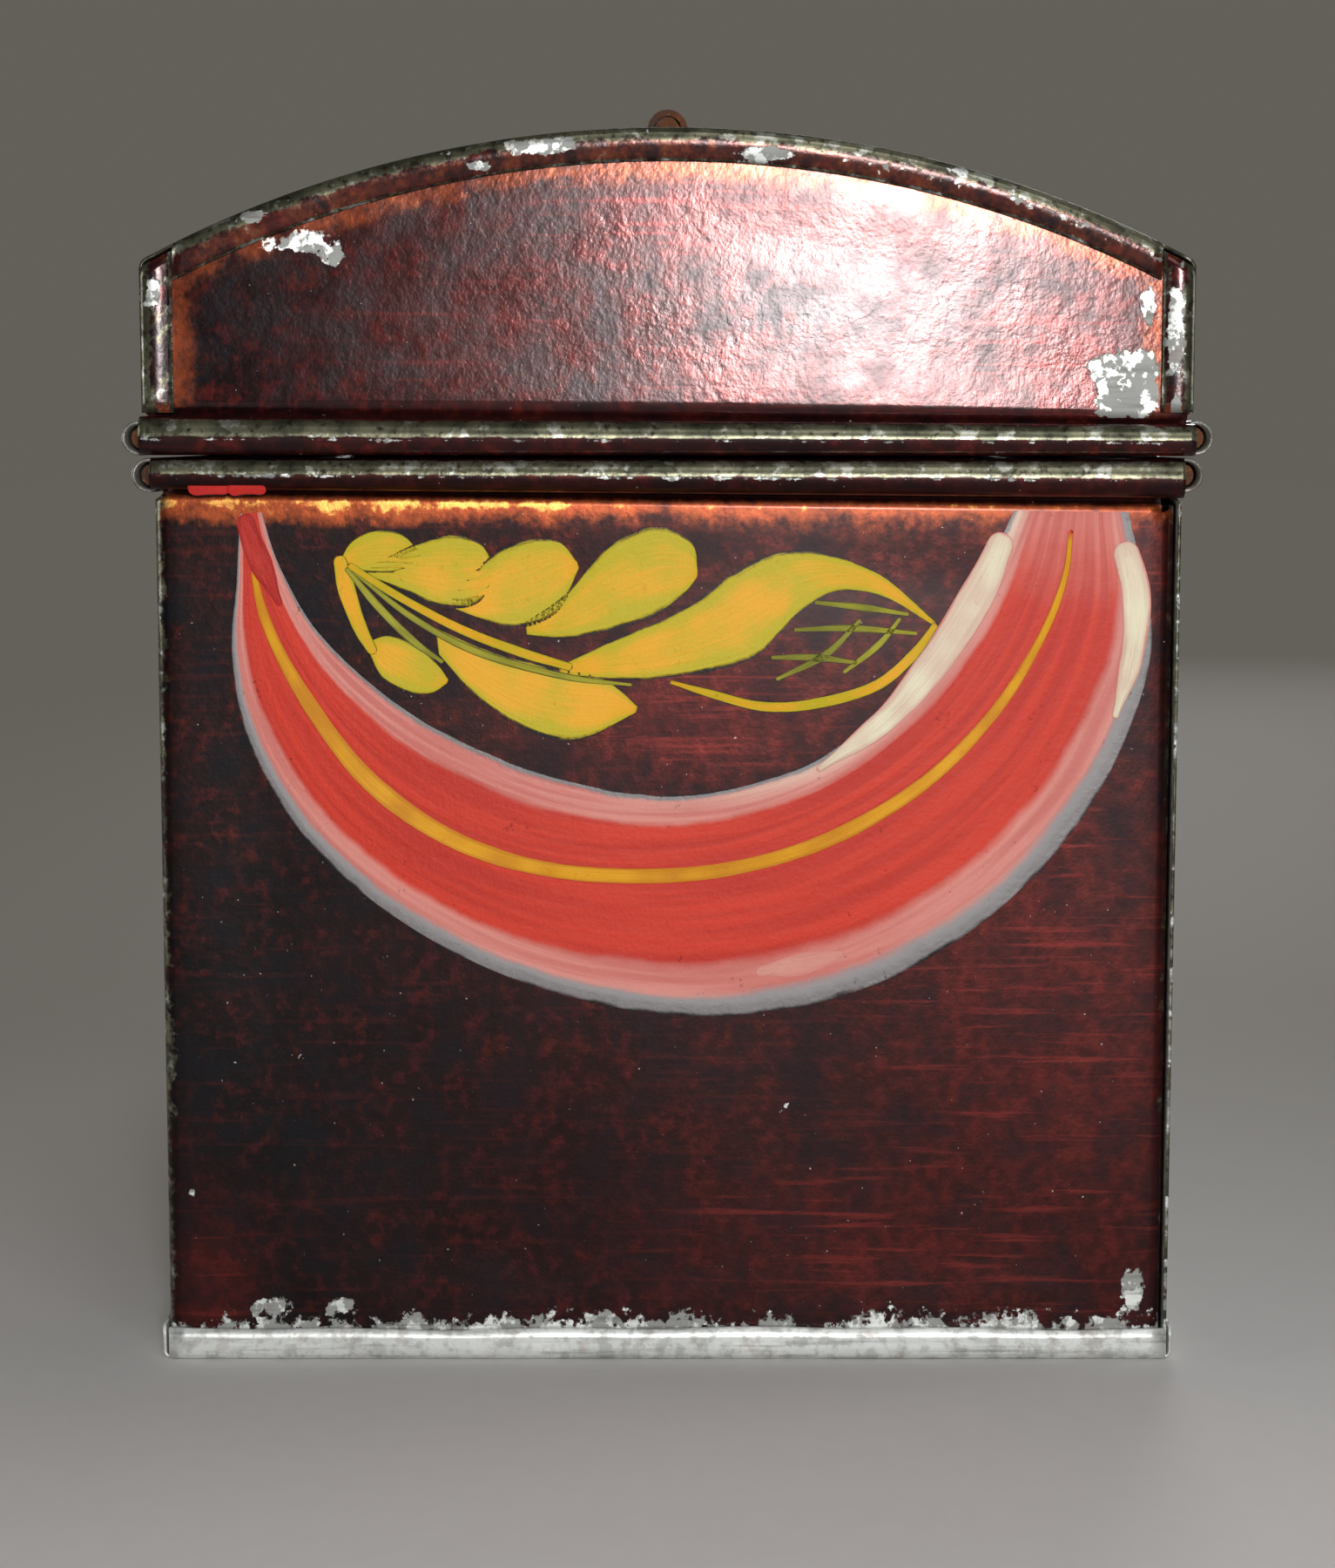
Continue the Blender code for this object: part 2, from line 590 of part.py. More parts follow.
def main():
    clear_scene()
    japan = finish("japanned_tin", (0.045, 0.022, 0.022), 0.3, 0.0)
    bare = finish("bare_tin", (0.62, 0.63, 0.60), 0.35, 1.0)
    iron = finish("iron_wire", (0.16, 0.11, 0.08), 0.6, 0.8)

    bottom_pan(bare)
    body_sheet("body_front_and_right", 0.0, japan)
    body_sheet("body_back_and_left", pi, japan)
    long_wire = 2 * (ROLL_END - WIRE_RECESS)
    rim_y = BODY_SIDE + ROLL_OUT
    rim_x = BODY_END + ROLL_OUT
    end_wire = BODY_DEPTH - 2 * FIT_GAP
    rod("body_wire_front", (0, -rim_y, BODY_ROLL_Z), (1, 0, 0), long_wire, RIM_WIRE_RADIUS, iron)
    rod("body_wire_back", (0, rim_y, BODY_ROLL_Z), (1, 0, 0), long_wire, RIM_WIRE_RADIUS, iron)
    rod("body_wire_right", (rim_x, 0, BODY_ROLL_Z), (0, 1, 0), end_wire, RIM_WIRE_RADIUS, iron)
    rod("body_wire_left", (-rim_x, 0, BODY_ROLL_Z), (0, 1, 0), end_wire, RIM_WIRE_RADIUS, iron)
    hinge_strap("hinge_strap_right", HINGE_OFFSET, japan)
    hinge_strap("hinge_strap_left", -HINGE_OFFSET, japan)
    plate_y = -(BODY_SIDE + FIT_GAP + STRAP / 2)
    plate_middle = (0, plate_y, HASP_PIN_Z - STAPLE_DROP)
    plate("staple_plate", plate_middle, *STAPLE_PLATE, STRAP, 3 * MM, japan)
    staple(iron)

    lid_pivot = pivot("lid_pivot", HINGE_Y, LID_ROLL_Z)
    lid_x = LID_PANEL + ROLL_OUT
    lid_wire = LID_SIDE * 2 - 2 * FIT_GAP
    lid_pieces = [
        lid_dome(japan),
        lid_end("lid_end_right", 0.0, japan),
        lid_end("lid_end_left", pi, japan),
        rod("lid_wire_front", (0, -HINGE_Y, LID_ROLL_Z), (1, 0, 0), long_wire, RIM_WIRE_RADIUS, iron),
        rod("lid_wire_back", (0, HINGE_Y, LID_ROLL_Z), (1, 0, 0), long_wire, RIM_WIRE_RADIUS, iron),
        rod("lid_wire_right", (lid_x, 0, LID_ROLL_Z), (0, 1, 0), lid_wire, RIM_WIRE_RADIUS, iron),
        rod("lid_wire_left", (-lid_x, 0, LID_ROLL_Z), (0, 1, 0), lid_wire, RIM_WIRE_RADIUS, iron),
        hasp_leaf(japan),
        rod(
            "hasp_pin",
            (0, HASP_PIN_Y, HASP_PIN_Z),
            (1, 0, 0),
            HASP_WIDTH + 2 * KNUCKLE_GAP,
            HASP_PIN_RADIUS,
            iron,
        ),
        bail_ear("bail_ear_right", EAR_OFFSET, bare),
        bail_ear("bail_ear_left", -EAR_OFFSET, bare),
    ]
    for piece in lid_pieces:
        attach(piece, lid_pivot)
    hasp_pivot = pivot("hasp_pivot", HASP_PIN_Y, HASP_PIN_Z, lid_pivot)
    attach(hasp(japan), hasp_pivot)
    bail_pivot = pivot("bail_pivot", 0, BAIL_PIVOT_Z, lid_pivot)
    attach(bail(iron), bail_pivot)
    print("lid hinge", round(HINGE_Y / MM, 3), round(LID_ROLL_Z / MM, 3))
    print("hasp pin", round(HASP_PIN_Y / MM, 3), round(HASP_PIN_Z / MM, 3))
    print("bail pivot", round(BAIL_PIVOT_Z / MM, 3), "lean", round(degrees(bail_lean()), 3))


main()
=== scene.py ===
# %% [markdown]
# # A dome-top box in japanned tin
# The real box is tinplate: thin iron sheet dipped in tin, folded, soldered and varnished with asphaltum
# japan, then painted by hand with a few loaded brush strokes. This lesson rebuilds its looks round the
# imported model. First come the camera and the light, then the finishes, then the sheets of metal, the
# paint, and the iron fittings.

import json
from math import acos, asin, cos, exp, pi, radians, sin, sqrt, tan

import bmesh
import bpy
from mathutils import Matrix, Vector

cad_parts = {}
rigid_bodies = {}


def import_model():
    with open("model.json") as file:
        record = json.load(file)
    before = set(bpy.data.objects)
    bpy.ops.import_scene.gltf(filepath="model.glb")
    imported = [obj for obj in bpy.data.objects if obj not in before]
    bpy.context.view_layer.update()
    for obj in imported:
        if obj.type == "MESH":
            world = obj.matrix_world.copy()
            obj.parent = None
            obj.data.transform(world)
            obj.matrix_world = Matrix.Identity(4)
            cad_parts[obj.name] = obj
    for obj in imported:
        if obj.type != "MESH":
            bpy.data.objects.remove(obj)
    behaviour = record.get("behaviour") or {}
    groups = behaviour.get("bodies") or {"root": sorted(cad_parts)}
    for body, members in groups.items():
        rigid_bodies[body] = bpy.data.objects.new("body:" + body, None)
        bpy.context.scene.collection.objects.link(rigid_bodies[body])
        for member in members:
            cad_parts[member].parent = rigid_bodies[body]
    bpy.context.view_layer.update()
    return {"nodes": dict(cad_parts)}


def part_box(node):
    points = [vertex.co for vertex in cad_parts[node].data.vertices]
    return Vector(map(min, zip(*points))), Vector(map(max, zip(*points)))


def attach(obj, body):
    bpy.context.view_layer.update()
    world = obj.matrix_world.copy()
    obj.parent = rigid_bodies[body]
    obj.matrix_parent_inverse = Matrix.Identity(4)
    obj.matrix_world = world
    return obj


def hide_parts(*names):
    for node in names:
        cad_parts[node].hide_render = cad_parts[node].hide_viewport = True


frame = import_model()
MM = 0.001

# %% [markdown]
# ## Camera
# The box is seen square on to its right end, almost level, so the lens has to be long and the camera low.
# A camera looks along its own -Z, so a turn of 90 degrees about X makes it look along the ground, and a
# little less tips it down.

# %% Place the camera
CAMERA_PLACE = (0.467, 0.0, 0.1094)
CAMERA_TIP = radians(83.5)
LENS = 70.6
camera_data = bpy.data.cameras.new("camera")
camera_data.lens = LENS
camera_data.sensor_width = 36.0
camera = bpy.data.objects.new("camera", camera_data)
camera.location = CAMERA_PLACE
camera.rotation_euler = (CAMERA_TIP, 0.0, radians(90))
bpy.context.collection.objects.link(camera)
bpy.context.scene.camera = camera
bpy.context.scene.view_settings.view_transform = "Standard"
print("camera at", [round(v, 3) for v in camera.location])

# %% [markdown]
# ## Light
# Japan is a glossy varnish, so what shows on it is mostly the reflection of the lamps. One soft lamp stands
# near the camera's line and makes the pale bloom high on the lid. A wide one overhead lights the dome,
# and weak ones on the other sides keep the back from going black.


# %% Hang the lamps
def lamp(name, place, aim, size, power, spread=180):
    """A square area lamp that points from its place at its aim."""
    data = bpy.data.lights.new(name, "AREA")
    data.size = size
    data.energy = power
    data.spread = radians(spread)
    holder = bpy.data.objects.new(name, data)
    holder.location = place
    direction = Vector(aim) - Vector(place)
    holder.rotation_euler = direction.to_track_quat("-Z", "Y").to_euler()
    holder.visible_camera = False
    bpy.context.collection.objects.link(holder)
    return holder


lamp("key", (0.90, 0.080, 0.186), (0.11, 0.0, 0.08), 0.09, 3.9)
lamp("table_lamp", (0.60, 0.12, 0.62), (0.32, 0.0, 0.0), 0.30, 0.9)
lamp("overhead", (-0.1, 0.4, 1.1), (0.0, 0.0, 0.1), 0.8, 0.7)
lamp("front_fill", (0.0, -1.2, 0.30), (0.0, 0.0, 0.12), 0.5, 0.40, spread=50)
lamp("back_fill", (-0.3, 1.2, 0.35), (0.0, 0.0, 0.12), 0.6, 0.45, spread=50)
lamp("left_fill", (-1.2, 0.2, 0.35), (0.0, 0.0, 0.12), 0.5, 0.50, spread=50)
BACKGROUND = (0.125, 0.115, 0.100, 1.0)
world = bpy.data.worlds.new("studio")
world.use_nodes = True
sky = world.node_tree
seen = sky.nodes.new("ShaderNodeLightPath").outputs["Is Camera Ray"]
glow = sky.nodes.new("ShaderNodeMix")
glow.data_type = "RGBA"
sky.links.new(seen, glow.inputs[0])
glow.inputs[6].default_value = (0.050, 0.049, 0.047, 1.0)
glow.inputs[7].default_value = BACKGROUND
sky.links.new(glow.outputs[2], sky.nodes["Background"].inputs["Color"])
bpy.context.scene.world = world
print("lamps:", len(bpy.data.lights))

# %% [markdown]
# ## Wiring nodes
# A material is a graph of nodes. A few short helpers place a node and join its inputs. What comes out of a
# node is held in a Flow, and adding or multiplying flows adds the Math node that does it, so each finish
# below reads like a recipe.


# %% Helpers for node graphs
def tone(red, green, blue):
    """A screen colour from 0 to 255, turned into the linear light that a shader needs."""

    def linear(value):
        share = value / 255
        return share / 12.92 if share <= 0.04045 else ((share + 0.055) / 1.055) ** 2.4

    return (linear(red), linear(green), linear(blue), 1.0)


class Flow:
    """A number or colour on its way through a node graph; arithmetic with one adds a Math node."""

    def __init__(self, socket):
        self.socket = socket
        self.tree = socket.id_data

    def __add__(self, other):
        return maths("ADD", self, other)

    def __radd__(self, other):
        return maths("ADD", other, self)

    def __sub__(self, other):
        return maths("SUBTRACT", self, other)

    def __rsub__(self, other):
        return maths("SUBTRACT", other, self)

    def __mul__(self, other):
        return maths("MULTIPLY", self, other)


def join(value, socket):
    """Runs a flow into a socket; a plain number or colour is set on the socket itself."""
    if isinstance(value, Flow):
        value.tree.links.new(value.socket, socket)
    else:
        socket.default_value = value


def put(tree, kind, output=0, inputs=None, **settings):
    """Adds a node, fills its inputs by name or number, and returns one of its outputs."""
    made = tree.nodes.new("ShaderNode" + kind)
    for key, value in settings.items():
        setattr(made, key, value)
    for key, value in (inputs or {}).items():
        join(value, made.inputs[key])
    return Flow(made.outputs[output])


def maths(kind, first, second):
    tree = first.tree if isinstance(first, Flow) else second.tree
    return put(tree, "Math", 0, {0: first, 1: second}, operation=kind)


def most(first, second):
    return maths("MAXIMUM", first, second)


def least(first, second):
    return maths("MINIMUM", first, second)


def window(value, low, high, bottom=0.0, top=1.0):
    """Runs smoothly from bottom to top as the value goes from low to high."""
    ends = {"Value": value, "From Min": low, "From Max": high, "To Min": bottom, "To Max": top}
    return put(value.tree, "MapRange", 0, ends, interpolation_type="SMOOTHSTEP")


def blend(share, first, second):
    """A mix of two colours."""
    return put(share.tree, "Mix", 2, {0: share, 6: first, 7: second}, data_type="RGBA")


def mix_value(share, first, second):
    """A plain number between two others."""
    return put(share.tree, "Mix", 0, {0: share, 2: first, 3: second})


def grain(place, size, detail, stretch=(1.0, 1.0, 1.0), shift=0.0):
    """Noise whose blotches are about size metres across; shift moves it, so that no two are alike."""
    moved = {"Vector": place, "Scale": stretch, "Location": (shift, shift, shift)}
    spot = put(place.tree, "Mapping", 0, moved)
    inputs = {"Vector": spot, "Scale": 1.0 / size, "Detail": detail, "Roughness": 0.6}
    return put(place.tree, "TexNoise", 0, inputs)


def new_group(name, inputs, outputs):
    """A node group with named sockets. An input's default says if it is a place, a number or a colour."""
    tree = bpy.data.node_groups.new(name, "ShaderNodeTree")
    for label, default in inputs.items():
        kind = "Float" if isinstance(default, float) else "Color"
        kind = "Vector" if default is None else kind
        made = tree.interface.new_socket(label, in_out="INPUT", socket_type="NodeSocket" + kind)
        if default is not None:
            made.default_value = default
    for label in outputs:
        kind = "Color" if label == "Colour" else "Float"
        tree.interface.new_socket(label, in_out="OUTPUT", socket_type="NodeSocket" + kind)
    given = tree.nodes.new("NodeGroupInput")
    return tree, {label: Flow(given.outputs[label]) for label in inputs}


def hand_out(tree, results):
    """Joins what a group has made to its named outputs."""
    end = tree.nodes.new("NodeGroupOutput")
    for label, value in results.items():
        join(value, end.inputs[label])


def use_group(tree, group, inputs):
    """Places a group and returns its outputs by name."""
    made = tree.nodes.new("ShaderNodeGroup")
    made.node_tree = group
    for key, value in inputs.items():
        join(value, made.inputs[key])
    return {label: Flow(socket) for label, socket in made.outputs.items()}


BLACK = (0.0, 0.0, 0.0, 1.0)

# %% [markdown]
# ## Finish 1: bare tin
# Fresh tin is bright and a little milky, with stains where damp has got to it and brown freckles where the
# iron shows through. It is a metal, so Metallic is 1 and the colour is the colour of its reflection.


# %% Group: bare tin
def make_bare_tin():
    tree, given = new_group(
        "bare_tin",
        {"Place": None, "Stain": 0.5, "Rust": 0.3},
        ("Colour", "Roughness", "Metallic", "Height"),
    )
    place = given["Place"]
    cloud = grain(place, 0.006, 5.0)
    speck = grain(place, 0.0016, 4.0, shift=3.0)
    scratch = grain(place, 0.004, 4.0, stretch=(1.0, 0.25, 5.0), shift=5.0)
    bright = blend(cloud, tone(236, 238, 234), tone(196, 200, 196))
    bright = blend(window(scratch, 0.5, 0.75), bright, tone(165, 168, 164))
    stain_edge = 1.02 - given["Stain"] * 0.55
    stain = window(speck + cloud * 0.35, 0.62, stain_edge) * given["Stain"]
    colour = blend(stain, bright, tone(62, 58, 50))
    rust_spot = grain(place, 0.0024, 5.0, shift=9.0)
    rusty = window(rust_spot, 0.52, 0.66) * given["Rust"]
    colour = blend(rusty, colour, tone(120, 72, 40))
    dull = most(stain, rusty)
    roughness = window(dull, 0.0, 1.0, 0.42, 0.7)
    metal = window(rusty, 0.0, 1.0, 0.6, 0.1)
    hand_out(tree, {"Colour": colour, "Roughness": roughness, "Metallic": metal, "Height": speck - dull})
    return tree


BARE_TIN = make_bare_tin()
print("group:", BARE_TIN.name, [item.name for item in BARE_TIN.interface.items_tree])

# %% [markdown]
# ## Finish 2: rubbed edges
# Hands have polished the folds and rolls for more than a century. The varnish there is a dull grey-green
# skin over old tin, with freckles of bare metal.


# %% Group: rubbed edges
def make_rubbed_edge():
    tree, given = new_group(
        "rubbed_edge",
        {"Place": None, "Freckles": 0.5},
        ("Colour", "Roughness", "Metallic", "Height"),
    )
    place = given["Place"]
    cloud = grain(place, 0.005, 5.0, shift=1.0)
    fine = grain(place, 0.0009, 4.0, shift=2.0)
    colour = blend(window(cloud, 0.35, 0.65), tone(74, 74, 60), tone(120, 118, 96))
    colour = blend(window(fine, 0.5, 0.7), colour, tone(44, 40, 34))
    freckle_size = grain(place, 0.0021, 5.0, shift=7.0)
    shine = window(freckle_size + cloud * 0.3, 0.70, 0.80) * given["Freckles"]
    colour = blend(shine, colour, tone(205, 208, 200))
    roughness = window(shine, 0.0, 1.0, 0.31, 0.32)
    metal = window(shine, 0.0, 1.0, 0.75, 0.9)
    hand_out(tree, {"Colour": colour, "Roughness": roughness, "Metallic": metal, "Height": fine})
    return tree


RUBBED_EDGE = make_rubbed_edge()
print("group:", RUBBED_EDGE.name)

# %% [markdown]
# ## Finish 3: japan
# Japan varnish is a dark brown glaze. Where it is thick it is almost black, and where it was wiped thin over
# the tin it glows amber or orange. The brush left it mottled, with fine flecks of red and level streaks.
# Four numbers stored on each sheet say where it is gone (Bare), rubbed (Rubbed), thin (Thin) or red
# (Glow), and noise makes the edges of those places ragged.


# %% Group: japan over tin
JAPAN_RED = tone(104, 34, 30)
RED_GLOW = tone(110, 34, 28)
AMBER = tone(156, 72, 36)
GOLD = tone(226, 168, 84)
DUST = tone(200, 190, 176)
BLUE_BLACK = tone(14, 13, 18)


def make_japan():
    tree, given = new_group(
        "japan_over_tin",
        {"Place": None, "Thick": BLACK, "Thinner": BLACK, "Bare": 0.0, "Rubbed": 0.0, "Thin": 0.0,
         "Glow": 0.0, "Flecks": 0.6, "Streaks": 0.3, "Gloss": 0.4, "Peel": 1.0, "Dull": 0.4, "Metal": 0.7},
        ("Colour", "Roughness", "Metallic", "Coat", "Height"),
    )
    place = given["Place"]
    cloud = grain(place, 0.022, 4.0)
    mottle = grain(place, 0.0060, 4.0, shift=4.0)
    fleck = grain(place, 0.0016, 6.0, shift=6.0)
    fine = grain(place, 0.00045, 3.0, shift=8.0)
    brushed = grain(place, 0.0024, 5.0, stretch=(0.12, 0.12, 2.6), shift=11.0)
    colour = blend(window(cloud, 0.3, 0.7), given["Thick"], given["Thinner"])
    colour = blend(window(mottle, 0.42, 0.72), colour, BLUE_BLACK)
    redness = window(fleck, 0.46, 0.70) * given["Flecks"] * window(mottle, 0.66, 0.36)
    colour = blend(redness, colour, JAPAN_RED)
    glow = given["Glow"] * window(mottle, 0.70, 0.34, 0.20, 0.42)
    glow = glow * (0.5 + window(fleck, 0.30, 0.62) * 0.5)
    colour = blend(glow, colour, RED_GLOW)
    strong = most(window(given["Glow"], 0.35, 0.9, 0.12, 0.75), given["Streaks"])
    streaks = window(brushed, 0.54, 0.68) * strong
    colour = blend(streaks, colour, JAPAN_RED)
    dust = window(grain(place, 0.0007, 2.0, shift=13.0), 0.74, 0.78, 0.0, 0.6)

    ragged = grain(place, 0.0034, 6.0, shift=15.0) - 0.5
    nibble = grain(place, 0.0009, 5.0, shift=17.0) - 0.5
    rough_edge = ragged + nibble * 0.7

    thin = given["Thin"]
    soft = thin + rough_edge * 1.3 * window(thin, 0.0, 0.3)
    colour = blend(window(soft, 0.05, 0.85, 0.0, 0.9), colour, AMBER)
    colour = blend(window(thin + rough_edge * 0.9, 0.72, 0.92), colour, GOLD)

    edge = use_group(tree, RUBBED_EDGE, {"Place": place, "Freckles": 0.45})
    rubbed = window(given["Rubbed"] + rough_edge * 0.9, 0.40, 0.60) * window(given["Rubbed"], 0.0, 0.1)
    tin = use_group(tree, BARE_TIN, {"Place": place, "Stain": 0.6, "Rust": 0.2})
    bare = window(given["Bare"] + rough_edge * 1.2, 0.46, 0.54) * window(given["Bare"], 0.0, 0.1)

    gloss = given["Dull"] + window(mottle, 0.3, 0.7, -0.04, 0.04)
    metal = given["Metal"] * (1.0 - dust)
    colour = blend(dust, colour, DUST)
    peel = grain(place, 0.0014, 2.0, shift=19.0)
    parts = {
        "Coat": (1.0 - most(rubbed * 0.8, bare)) * given["Gloss"],
        "Height": fine * 0.8 + brushed * 0.2 + fleck * 1.6 + peel * given["Peel"] - bare * 1.5,
    }
    for label, start in (("Colour", colour), ("Roughness", gloss), ("Metallic", metal)):
        cover = blend if label == "Colour" else mix_value
        parts[label] = cover(bare, cover(rubbed, start, edge[label]), tin[label])
    hand_out(tree, parts)
    return tree


JAPAN = make_japan()
print("group:", JAPAN.name, "nodes:", len(JAPAN.nodes))

# %% [markdown]
# ## Finish 4: brushed oil paint
# The painter loaded a soft brush and laid each petal in one go, so a stroke is thick along its edges, thin
# in the middle, and streaked along its length. Each stroke in this scene carries two numbers: how far
# along it a point is, and how far across.


# %% Group: one brush stroke
def make_stroke():
    tree, given = new_group(
        "brush_stroke",
        {"Place": None, "Along": 0.0, "Across": 0.0, "Light": BLACK, "Dark": BLACK, "Wear": 0.3, "Dry": 0.3},
        ("Colour", "Cover", "Height"),
    )
    place = given["Place"]
    along, across = given["Along"], given["Across"]
    hairs = put(tree, "CombineXYZ", 0, {0: along * 1.2, 1: across * 9.0})
    bristle = put(tree, "TexNoise", 0, {"Vector": hairs, "Scale": 2.0, "Detail": 4.0, "Roughness": 0.65})
    wobble = grain(place, 0.0032, 4.0, shift=21.0)
    pits = grain(place, 0.0009, 5.0, shift=23.0)
    side = least(across, 1.0 - across)
    end = least(along, 1.0 - along)
    ragged = wobble - 0.5 + (bristle - 0.5)
    inside = side + ragged * 0.10
    cover = window(inside, 0.015, 0.075) * window(end, 0.0, 0.012)
    dry = given["Dry"] * 0.5 + 0.30
    dry = window(bristle, dry - 0.12, dry + 0.02)
    cover = cover * most(dry, 1.0 - given["Dry"])
    cover = cover * most(window(pits + wobble * 0.6, 1.08, 0.98), 1.0 - given["Wear"])
    drift = grain(place, 0.009, 2.0, shift=25.0)
    shade = bristle * 0.5 + drift * 1.1 - window(side, 0.30, 0.0, 0.28, 0.62)
    colour = blend(window(shade, 0.28, 0.72), given["Dark"], given["Light"])
    hand_out(tree, {"Colour": colour, "Cover": cover, "Height": cover * bristle})
    return tree


STROKE = make_stroke()
print("group:", STROKE.name, "nodes:", len(STROKE.nodes))

# %% [markdown]
# ## Materials
# Each material keeps its own Principled BSDF and fills it from the groups. The sheets all share the japan
# recipe with different amounts: the lid is smooth and browner, the body black and dull.


# %% Build the sheet materials
COAT_ROUGHNESS = 0.20


def new_material(name, specular=0.5):
    material = bpy.data.materials.new(name)
    material.use_nodes = True
    shader = material.node_tree.nodes["Principled BSDF"]
    shader.inputs["Specular IOR Level"].default_value = specular
    return material, material.node_tree, shader


def object_place(tree):
    return put(tree, "TexCoord", "Object")


def state(tree, name):
    """A number stored on the mesh."""
    return put(tree, "Attribute", "Fac", attribute_name=name)


SHADER_SOCKETS = {
    "Colour": "Base Color", "Roughness": "Roughness", "Metallic": "Metallic", "Coat": "Coat Weight",
}


def fill_shader(tree, shader, parts, bump=0.00004):
    """Gives the shader its colour, roughness, metal and coat, and a bump whose height is in metres."""
    for label, socket in SHADER_SOCKETS.items():
        if label in parts:
            join(parts[label], shader.inputs[socket])
    shader.inputs["Coat Roughness"].default_value = COAT_ROUGHNESS
    normal = put(tree, "Bump", 0, {"Height": parts["Height"], "Distance": bump, "Strength": 1.0})
    join(normal, shader.inputs["Normal"])


def japan_parts(tree, finish):
    inputs = {"Place": object_place(tree), **finish}
    for label in ("Bare", "Rubbed", "Thin", "Glow"):
        inputs[label] = state(tree, label.lower())
    return use_group(tree, JAPAN, inputs)


def japan_material(name, finish, specular, bump):
    material, tree, shader = new_material(name, specular)
    parts = japan_parts(tree, finish)
    if finish["Gloss"] == 0.0:
        parts["Coat"] = 0.0
    fill_shader(tree, shader, parts, bump)
    return material


LID_FINISH = {
    "Thick": tone(26, 14, 16), "Thinner": tone(48, 22, 22), "Flecks": 0.7, "Streaks": 0.05,
    "Gloss": 0.0, "Peel": 1.8, "Dull": 0.20, "Metal": 0.31,
}
BODY_FINISH = {
    "Thick": tone(9, 5, 5), "Thinner": tone(28, 13, 12), "Flecks": 0.3, "Streaks": 0.03,
    "Gloss": 0.22, "Peel": 1.0, "Dull": 0.41, "Metal": 0.7,
}
JAPAN_LID = japan_material("japanned_lid", LID_FINISH, 0.30, 0.000013)
JAPAN_BODY = japan_material("japanned_body", BODY_FINISH, 0.2, 0.000025)
print("japan:", JAPAN_LID.name, JAPAN_BODY.name)

# %% [markdown]
# ## Tin and iron
# The pan under the box has lost its varnish and is bare tin. The inside of the box was never varnished, so it
# is tin as well, but has gone grey-brown with age. The plates of the hasp and hinges are rubbed like the
# folds, and the handle and wires are iron that has rusted.

# %% Build the metal materials
OLD_TIN = tone(84, 76, 64)


def tin_material(name, stain, rust, age=0.0):
    """Bare tin; age is how far it has gone from silver towards a dull grey-brown."""
    material, tree, shader = new_material(name)
    place = object_place(tree)
    parts = use_group(tree, BARE_TIN, {"Place": place, "Stain": stain, "Rust": rust})
    if age:
        dulled = window(grain(place, 0.03, 4.0, shift=41.0), 0.3, 0.7, 0.8 * age, age)
        parts["Colour"] = blend(dulled, parts["Colour"], OLD_TIN)
    fill_shader(tree, shader, parts)
    return material


WORN_TIN = tin_material("worn_tin", 0.35, 0.25)
INSIDE_TIN = tin_material("inside_tin", 0.5, 0.6, 0.75)


def rubbed_material(name, freckles):
    material, tree, shader = new_material(name)
    parts = use_group(tree, RUBBED_EDGE, {"Place": object_place(tree), "Freckles": freckles})
    fill_shader(tree, shader, parts, bump=0.00006)
    return material


RUBBED = rubbed_material("rubbed_fittings", 0.6)


def rust_material(name):
    """Iron wire: brown rust with a dark skin left in the hollows."""
    material, tree, shader = new_material(name, specular=0.3)
    place = object_place(tree)
    cloud = grain(place, 0.004, 5.0)
    fine = grain(place, 0.0008, 5.0, shift=3.0)
    colour = blend(window(cloud, 0.35, 0.62), tone(52, 38, 30), tone(116, 70, 42))
    colour = blend(window(fine, 0.55, 0.72), colour, tone(150, 96, 58))
    parts = {
        "Colour": colour,
        "Roughness": window(cloud, 0.35, 0.62, 0.5, 0.85),
        "Metallic": window(cloud, 0.62, 0.35, 0.0, 0.7),
        "Height": cloud + fine * 0.5,
    }
    fill_shader(tree, shader, parts, bump=0.0002)
    return material


RUSTY_WIRE = rust_material("rusty_wire")
print("metals:", [m.name for m in (WORN_TIN, INSIDE_TIN, RUBBED, RUSTY_WIRE)])

# %% [markdown]
# ## Floor
# A pale sheet of studio paper. It is large. Away from a spot in front of the box its colour fades to black, a
# painted falloff of the lamps' light, and it glows with the background colour instead, a painted glow, so
# that its far edge melts into the background.


# %% Lay the floor
LIT_PLACE = (0.34, 0.0, 0.0)
PAPER_DARK = (0.74, 0.73, 0.72, 1.0)
PAPER_LIGHT = (0.80, 0.79, 0.78, 1.0)


def make_floor():
    """A wide disc of paper, painted darker far away where the lamps don't reach and glowing there with the
    background colour: painted falloff of light and a painted glow.
    """
    mesh = bpy.data.meshes.new("paper_floor")
    shape = bmesh.new()
    bmesh.ops.create_circle(shape, cap_ends=True, segments=96, radius=6.0)
    shape.to_mesh(mesh)
    shape.free()
    floor = bpy.data.objects.new("paper_floor", mesh)
    bpy.context.collection.objects.link(floor)
    material, tree, shader = new_material("studio_paper", specular=0.2)
    place = object_place(tree)
    middle = put(tree, "VectorMath", 0, {0: place, 1: LIT_PLACE}, operation="SUBTRACT")
    far = put(tree, "VectorMath", "Value", {0: middle}, operation="LENGTH")
    # painted light: away from LIT_PLACE the paper's colour fades to black and a glow of the background colour
    # takes its place
    away = window(far, 0.08, 0.50)
    fibre = grain(place, 0.004, 4.0)
    paper = blend(fibre, PAPER_DARK, PAPER_LIGHT)
    join(blend(away, paper, BLACK), shader.inputs["Base Color"])
    join(blend(away, BLACK, BACKGROUND), shader.inputs["Emission Color"])
    shader.inputs["Emission Strength"].default_value = 1.0
    shader.inputs["Roughness"].default_value = 0.8
    mesh.materials.append(material)
    return floor


make_floor()

